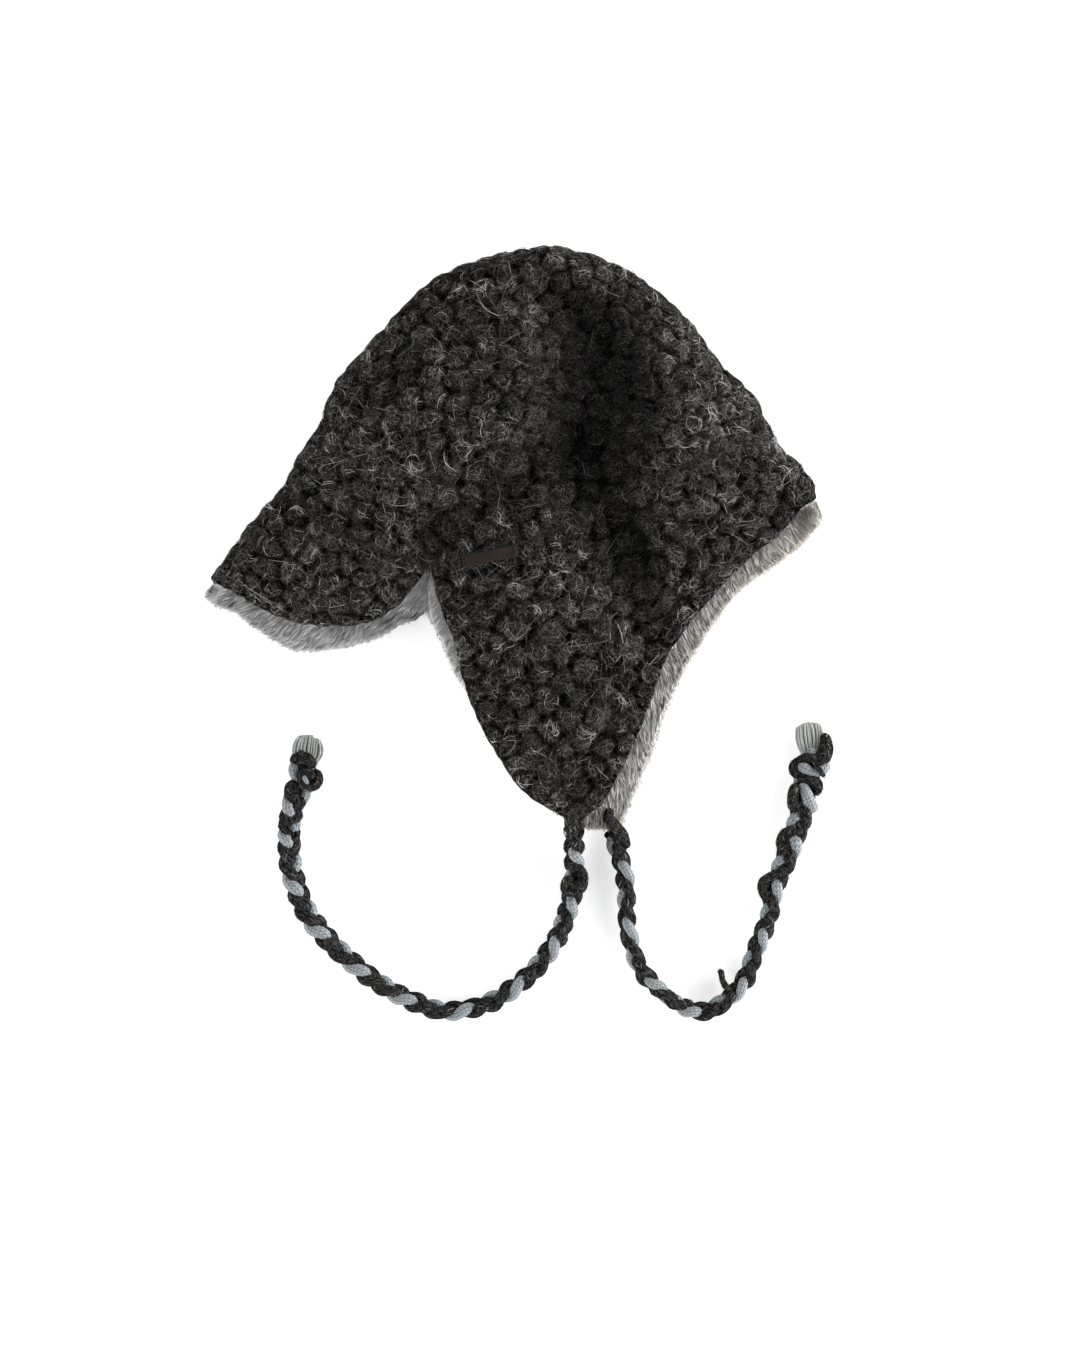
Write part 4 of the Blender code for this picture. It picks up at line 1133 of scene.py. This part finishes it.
CURLS = {  # thickness, material, and the route of each loose or knotted end on the ties
    "near_tie_middle_knot": (
        (3, WOOL, ((29.4, -175.5, 8), (33.3, -180.4, 10), (37.4, -185.4, 11), (37.4, -191.5, 11.5),
            (32.7, -194.8, 11), (28.3, -194, 10), (28.6, -189.4, 12), (32.3, -188.9, 13))),
        (1.9, WOOL, ((32, -206, 6), (29.2, -202.2, 8), (27.8, -199.1, 7.5))),
    ),
    "near_tie_knot": (
        (3.2, WOOL, ((-123.1, -124.3, 4), (-120.7, -122.3, 6), (-116.9, -121.4, 7), (-113, -123.4, 7.5),
            (-110.3, -127.1, 6.5))),
        (1.3, WOOL, ((-115.8, -122.1, 9), (-117.4, -119.4, 9), (-118, -117.2, 7.5))),
        (2.2, WOOL, ((-111.9, -128.7, 6), (-108.9, -130.4, 7), (-107.9, -133.7, 7.5), (-109.4, -136.8, 8),
            (-112.5, -138, 8.5), (-115.8, -136.2, 9), (-117.8, -133.4, 9), (-116.7, -130.2, 9.5),
            (-113, -130, 10), (-111.4, -133.5, 10))),
        (1.5, CORD, ((-116.9, -129.4, 9), (-115.6, -132.9, 10.5), (-113.9, -136.4, 9.5))),
        (3, CORD, ((-119.6, -123.8, 4), (-121.8, -127.1, 5.5), (-121.6, -130.9, 6), (-118.6, -135.6, 5),
            (-115.6, -139.4, 5), (-116.8, -144, 5), (-119.5, -149, 4.5))),
        (4.2, WOOL, ((-120.8, -134, 4), (-122.6, -138.8, 6), (-123.3, -143, 6), (-123.6, -147, 4.5))),
    ),
    "far_tie_knot": (
        (3.9, WOOL, ((171.4, -108, 4), (172.1, -113.5, 5), (171.9, -119, 5.5), (168.5, -122.6, 6.5),
            (163, -123, 6.5))),
        (3.2, WOOL, ((170, -120.5, 5), (166, -122.2, 7), (160.3, -122.3, 7), (155.9, -124.9, 6),
            (154.8, -128.7, 6), (158.7, -132.6, 6.5), (164.2, -133.9, 7.5), (167.3, -137.4, 7.5),
            (166.4, -142.5, 5))),
        (3, CORD, ((156.5, -124.9, 6), (160.3, -127.4, 8.3), (164.7, -129.4, 8.6), (168.6, -128.7, 8),
            (171.5, -127.1, 7), (172.6, -124.3, 5))),
        (1.2, WOOL, ((165.3, -124.4, 9), (168.2, -128.4, 12), (171, -132, 8.5))),
        (1.8, CORD, ((157, -131.5, 6), (155.9, -134.6, 6.5), (156, -137, 5))),
        (3.4, CORD, ((158.6, -136, 6), (160.6, -140.5, 9.5), (163.2, -146, 9.5), (165.2, -151.5, 6))),
        (3, WOOL, ((155.6, -136.5, 6), (153.9, -140.5, 9.5), (153.3, -145.5, 9), (155, -150.5, 5))),
        (2.8, CORD, ((164, -122.5, 6), (164, -119.5, 5.5), (164.6, -116.2, 4.5))),
    ),
    "near_tie_root": (
        (4.4, WOOL, ((29.5, -147, 21), (31, -153.5, 19.5), (32, -160, 16.5), (33, -168, 12.5))),
        (2.6, WOOL, ((36.5, -151, 19.5), (36, -157, 17.5), (34.6, -164, 14.5), (31.5, -171, 11.5))),
    ),
    "far_tie_root": (
        (3, WOOL, ((53, -149.5, 11.5), (52, -153.5, 13), (54.6, -157.8, 11.5), (58.6, -162.5, 9.5),
            (60.8, -167, 8), (61.4, -172, 6.5))),
        (2.2, WOOL, ((49.8, -154, 10), (53, -158.5, 9), (56.4, -164, 7.5), (57.6, -170, 6.5),
            (58.6, -176, 6))),
    ),
    "far_tie_loose_end": (
        (1.7, WOOL, ((122, -250.5, 6), (118, -249, 8), (115.5, -246, 6), (114.3, -241, 4),
            (113.8, -238.5, 3.5))),
        (3.1, WOOL, ((145.5, -187.2, 5), (140.6, -188.1, 6.5), (137.2, -192.5, 6.5), (138.6, -197.3, 6.5),
            (142.7, -200.2, 5))),
        (3.1, WOOL, ((153.7, -162, 5), (149.9, -163.4, 6.5), (147.2, -167.6, 6.5), (148.4, -171.4, 6.5),
            (152.1, -174, 5))),
    ),
}
OTHER_KNOT = {"near_tie": "near_tie_middle_knot", "far_tie": "far_tie_loose_end"}
KNOT_CORES = {  # middle, half of the length, width and height, and turn in degrees, of the wool inside
    "near_tie_knot": ((-112.7, -133.9, 5, 5, 4.6, 4, 0), (-116.5, -126.5, 4.5, 6, 4.6, 3.6, -60)),
    "far_tie_knot": ((163.4, -127.3, 4.6, 8.2, 6, 4.2, -15), (162, -137, 4.5, 5.5, 5, 4, 80)),
    "near_tie_middle_knot": ((32.5, -190, 7.5, 5, 4.4, 4.5, 0),),
}
TASSELS = {  # root, tip, width at the root and at the tip, threads, thread thickness
    "near_tie": ((-115.4, -121.6), (-113.6, -109.6), 11.6, 13.2, 11, 0.72),
    "far_tie": ((164.2, -118.6), (162.8, -102.4), 7.5, 14.6, 12, 0.7),
}


def axes_of(path):
    """The directions along a path, to its side, and up from it."""
    way = unit(np.gradient(path, axis=0))
    side = unit(np.cross(np.array((0.0, 0.0, 1.0)), way))
    return way, side, np.cross(way, side)


def tube(path, radius, sides, squash=1.0):
    """Rings of points round a path, with the length and the way round at each point, closed at both ends."""
    steps = len(path)
    way, side, up = axes_of(path)
    angle = np.linspace(0, 2 * math.pi, sides, endpoint=False)
    radius = np.broadcast_to(radius, steps)
    rings = (path[:, None] + side[:, None] * (np.cos(angle)[:, None] * radius[:, None, None])
             + up[:, None] * (np.sin(angle)[:, None] * radius[:, None, None] * squash))
    along = lengths(path)
    wound = np.stack(np.broadcast_arrays(along[:, None], angle * radius.mean(), radius.mean()), axis=-1)
    faces = grid_faces(steps, sides, True).reshape(-1, 4)[:, ::-1]
    points = rings.reshape(-1, 3)
    points = np.vstack([points, path[:1] - way[:1] * radius[0] / 2, path[-1:] + way[-1:] * radius[-1] / 2])
    wound = np.vstack([wound.reshape(-1, 3), (0, 0, 0), (along[-1], 0, 0)])
    ring = np.arange(sides)
    first, last = steps * sides, steps * sides + 1
    start = np.stack([np.roll(ring, -1), ring, np.full(sides, first), np.full(sides, first)], axis=1)
    end = np.stack([ring, np.roll(ring, -1), np.full(sides, last), np.full(sides, last)], axis=1)
    end[:, :2] += (steps - 1) * sides
    return points, np.vstack([faces, start, end]), wound, (rings, way)


class Joined:
    """Several shapes in one mesh, each with its own material."""

    def __init__(self):
        self.points, self.faces, self.wound, self.looks = [], [], [], []
        self.count = 0

    def add(self, points, faces, wound, look):
        self.points.append(points)
        self.faces.append(faces + self.count)
        self.wound.append(wound)
        self.looks += [look] * len(faces)
        self.count += len(points)

    def make(self, name, slot, replaces=()):
        used = sorted(set(self.looks))
        points, faces = held_above(np.vstack(self.points)), np.vstack(self.faces)
        piece = add_piece(name, points, faces, used[0], slot, replaces, wound=np.vstack(self.wound))
        for look in used[1:]:
            piece.data.materials.append(LOOKS[look])
        index = np.array([used.index(look) for look in self.looks], np.int32)
        piece.data.polygons.foreach_set("material_index", index)
        build = bmesh.new()
        build.from_mesh(piece.data)
        bmesh.ops.dissolve_degenerate(build, edges=build.edges, dist=1e-7)
        build.to_mesh(piece.data)
        build.free()
        return piece


FUZZ_POINTS, FUZZ_BEND = 4, 7  # points along a fibre, and how far it stands off when it runs straight on


def add_fuzz(name, rings_of, each):
    """Fine fibres that stand off strands. rings_of holds a strand's rings of points and its direction."""
    paths, twists = [], []
    for rings, way in rings_of:
        steps, sides, _ = rings.shape
        count = int(steps * each)
        row, column = dice.integers(1, steps - 1, count), dice.integers(0, sides, count)
        root, way = rings[row, column], way[row]
        out = unit(root - rings.mean(1)[row])
        lie = way * dice.choice((-1, 1), (count, 1)) + np.cross(way, out) * dice.normal(0, 0.9, (count, 1))
        lie = unit(lie)
        long = dice.uniform(1.8, 5.0, count)[:, None]
        lift = dice.gamma(1.5, 0.22, count)[:, None]
        path = []
        for k in np.linspace(0, 1, FUZZ_POINTS):
            run = k - 0.4
            off = out * (0.15 + lift * k)
            path.append(root + lie * long * run - out * (long * run) ** 2 / FUZZ_BEND + off)
        paths.append(np.stack(path, axis=1))
        twists.append(np.repeat(out[:, None], FUZZ_POINTS, axis=1))
    paths, twists = held_above(np.vstack(paths)), np.vstack(twists)
    n = len(paths)
    shade, wide = dice.beta(1.2, 2.1, n), dice.uniform(0.18, 0.34, n)
    return add_ribbons(name, "loose_wool", "braid", paths, wide, twists + dice.normal(0, 0.3, (n, 1, 3)),
                       shade=shade)


def lumpy(path, radius, share):
    """A strand's radius along its path, a little uneven, as wool is."""
    along = lengths(path)
    phase = dice.uniform(0, 6.28, 3)
    waves = np.sin(along / 2.6 + phase[0]) + np.sin(along / 4.4 + phase[1]) + np.sin(along / 1.3 + phase[2])
    return radius * (1 + share * waves / 2)


def braid_phase(name, line, share):
    """The turn of the braid along a tie, so that the light strand is on top at the light spots."""
    spots = np.array([line.share_near(*spot) for spot in LIGHT_SPOTS[name]])
    turns = np.arange(len(spots), dtype=float)
    turns[TURNED_OVER[name]:] += 0.25
    pace = (spots[-1] - spots[0]) / turns[-1]
    spots = np.concatenate([[spots[0] - 2 * pace], spots, [spots[-1] + 2 * pace]])
    turns = np.concatenate([[-2], turns, [turns[-1] + 2]])
    return 2 * math.pi * (np.interp(share, spots, turns) + 0.125)


def add_tie(name):
    line = Line(TIE_ROUTES[name])
    share = np.linspace(0, 1, int(line.length / BRAID_STEP))
    middle = line.at(share)
    _, side, up = axes_of(middle)
    phase = braid_phase(name, line, share)
    roll, girth = np.radians(from_table(BRAID_ROLL[name], share)), from_table(TIE_GIRTH[name], share)
    braid, strands = Joined(), []
    for k, (look, thick, uneven) in enumerate(BRAID_STRANDS):
        angle = phase + k * 2 * math.pi / len(BRAID_STRANDS)
        x, z = BRAID_WIDE * np.sin(angle), BRAID_HIGH * np.sin(2 * angle)
        x, z = x * np.cos(roll) - z * np.sin(roll), x * np.sin(roll) + z * np.cos(roll)
        path = middle + (side * x[:, None] + up * z[:, None]) * girth[:, None]
        points, faces, wound, rings = tube(path, lumpy(path, STRAND * thick, uneven) * girth, STRAND_SIDES)
        braid.add(points, faces, wound, look)
        if look == WOOL:
            strands.append(rings)
    piece = braid.make(f"{name}_strands", "braid", (f"{name}_braid",))
    others = [add_fuzz(f"{name}_fuzz", strands, BRAID_FUZZ)]
    others.append(add_knot(f"{name}_knot", f"{name}_knot_curls", (f"{name}_knot",)))
    others.append(add_tassel(name))
    others.append(add_knot(OTHER_KNOT[name], OTHER_KNOT[name]))
    add_knot(f"{name}_root", f"{name}_root")


def add_knot(name, piece_name, replaces=()):
    knot, strands = Joined(), []
    for thick, look, route in CURLS[name]:
        line = Line(route)
        share = np.linspace(0, 1, max(int(line.length / KNOT_STEP), 8))
        path = line.at(share)
        rounded = np.sqrt(1 - 0.97 * np.abs(2 * share - 1) ** max(line.length / thick, 4))
        points, faces, wound, rings = tube(path, lumpy(path, thick, 0.1) * rounded, STRAND_SIDES)
        knot.add(points, faces, wound, look)
        if look == WOOL:
            strands.append(rings)
    for x, y, z, long, wide, high, turn in KNOT_CORES.get(name, ()):
        share = np.linspace(-0.97, 0.97, 11)
        way = np.array((math.cos(math.radians(turn)), math.sin(math.radians(turn)), 0))
        path = np.array((x, y, z)) + way * long * share[:, None]
        points, faces, wound, rings = tube(path, wide * np.sqrt(1 - share ** 2), CORE_SIDES, high / wide)
        knot.add(points, faces, wound, WOOL)
        strands.append(rings)
    piece = knot.make(piece_name, "braid", replaces)
    add_fuzz(f"{name}_fuzz", strands, KNOT_FUZZ)
    return piece


def add_tassel(name):
    root, tip, root_wide, tip_wide, threads, thick = TASSELS[name]
    root, tip = np.array(root, float), np.array(tip, float)
    way = unit(tip - root)
    side = np.array((way[1], -way[0]))
    tassel = Joined()
    for layer in range(2):
        for k in range(threads - layer):
            share = (k + 0.5 + 0.5 * layer) / threads - 0.5
            start = root - way * TASSEL_IN + side * share * root_wide
            end = tip + side * share * tip_wide - way * (TASSEL_ROUND * (2 * share) ** 2)
            end = end + way * dice.normal(0, 0.35)
            bend, belly = side * dice.normal(0, 0.4), side * share * TASSEL_BELLY
            height = 1.6 + 2.3 * layer
            t = np.linspace(0, 1, 9)[:, None]
            flat = start + (end - start) * t + bend * np.sin(math.pi * t) + belly * np.sin(math.pi * t)
            path = np.column_stack([flat, height + 1.6 * (1 - t[:, 0]) + dice.normal(0, 0.25)])
            points, faces, wound, _ = tube(path, lumpy(path, thick, 0.08), 6)
            tassel.add(points, faces, wound, "cotton_thread")
    return tassel.make(f"{name}_threads", "cotton", (f"{name}_tassel",))


for tie in TIE_ROUTES:
    add_tie(tie)


# Leather label, left bare
LABEL = (-13.0, -11.4, 30.0, 6.4, 11.5, 1.3)  # middle x and y, length, width, turn in degrees, thickness
LABEL_GRID, LABEL_EDGE, LABEL_LIFT = (29, 8), 0.35, 0.6  # cells, its edge's rounding, and height on the knit
# The label's stitches: shares of its length, then shares of its width and steps along each stitch
STITCH_ENDS, STITCH_SIDES, STITCH_STEPS = (-0.445, 0.445), (-0.24, 0.24), (-0.14, -0.05, 0.05, 0.14)


def on_hat(flat, lift):
    """Places on the label, from its middle, as points on the hat, which lets the label wave a little."""
    x, y, _, _, turn, _ = LABEL
    c, s = math.cos(math.radians(turn)), math.sin(math.radians(turn))
    along, across = flat.T
    points = surface(np.column_stack([x + along * c - across * s, y + along * s + across * c]), True)
    wave = 0.35 * np.sin(along / 5.3) + 0.25 * np.sin(along / 2.9 + 1) - 0.012 * (along / 4) ** 2
    points[:, 2] += lift + wave
    return points


def add_label():
    long, wide, thick = LABEL[2], LABEL[3], LABEL[5]
    build = bmesh.new()
    bmesh.ops.create_grid(build, x_segments=LABEL_GRID[0], y_segments=LABEL_GRID[1], size=0.5)
    flat = np.array([v.co[:2] for v in build.verts]) * (long, wide)
    for vertex, point in zip(build.verts, on_hat(flat, LABEL_LIFT + thick)):
        vertex.co = (point - ORIGIN) * MM
    mesh = bpy.data.meshes.new("label_leather")
    build.to_mesh(mesh)
    build.free()
    mesh.materials.append(LOOKS["dark_leather"])
    mesh.polygons.foreach_set("use_smooth", [True] * len(mesh.polygons))
    label = add_object("label_leather", mesh)
    wall = label.modifiers.new("wall", "SOLIDIFY")
    wall.thickness, wall.offset = thick * MM, -1
    edge = label.modifiers.new("edge", "BEVEL")
    edge.width, edge.segments, edge.limit_method = LABEL_EDGE * MM, 3, "ANGLE"
    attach(label, "root")
    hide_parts("leather_tab")
    stitches = Joined()
    for end in STITCH_ENDS:
        for place in STITCH_SIDES:
            flat = np.array([(end * long, (place + step) * wide) for step in STITCH_STEPS])
            path = on_hat(flat, LABEL_LIFT + 0.1 + thick)
            points, faces, wound, _ = tube(path, np.array((0.2, 0.34, 0.34, 0.2)), 6)
            stitches.add(points, faces, wound, WOOL)
    stitches.make("label_stitches", "leather")


add_label()


FLOOR_HALF = 4  # metres


def add_floor():
    build = bmesh.new()
    bmesh.ops.create_grid(build, x_segments=1, y_segments=1, size=FLOOR_HALF)
    mesh = bpy.data.meshes.new("floor")
    build.to_mesh(mesh)
    build.free()
    mesh.materials.append(LOOKS["white_table"])
    add_object("floor", mesh)


LIGHT_AWAY, LIGHT_SIZE, LIGHT_HIGH = 2.2, 1.3, 16  # distance and size in metres, height in degrees
ROOM_LIGHT = 0.04
LIGHTS = (  # name, direction from the right in degrees, power in watts
    ("right", 2, 86), ("upper right", 48, 60), ("top", 100, 27), ("left", 190, 66), ("lower left", 235, 43),
    ("lower right", 318, 64),
)


def add_light():
    world = bpy.data.worlds.new("room")
    world.use_nodes = True
    room = world.node_tree.nodes["Background"].inputs
    room["Color"].default_value, room["Strength"].default_value = (1, 1, 1, 1), ROOM_LIGHT
    scene.world = world
    high = math.radians(LIGHT_HIGH)
    for name, round_way, power in LIGHTS:
        light = bpy.data.lights.new(name, "AREA")
        light.shape, light.size, light.energy = "DISK", LIGHT_SIZE, power
        lamp = add_object(name, light)
        way = math.radians(round_way)
        flat = math.cos(high)
        lamp.location = Vector((math.cos(way) * flat, math.sin(way) * flat, math.sin(high))) * LIGHT_AWAY
        lamp.rotation_euler = (-lamp.location).to_track_quat("-Z", "Y").to_euler()
    scene.view_settings.view_transform = "Standard"


add_floor()
add_light()
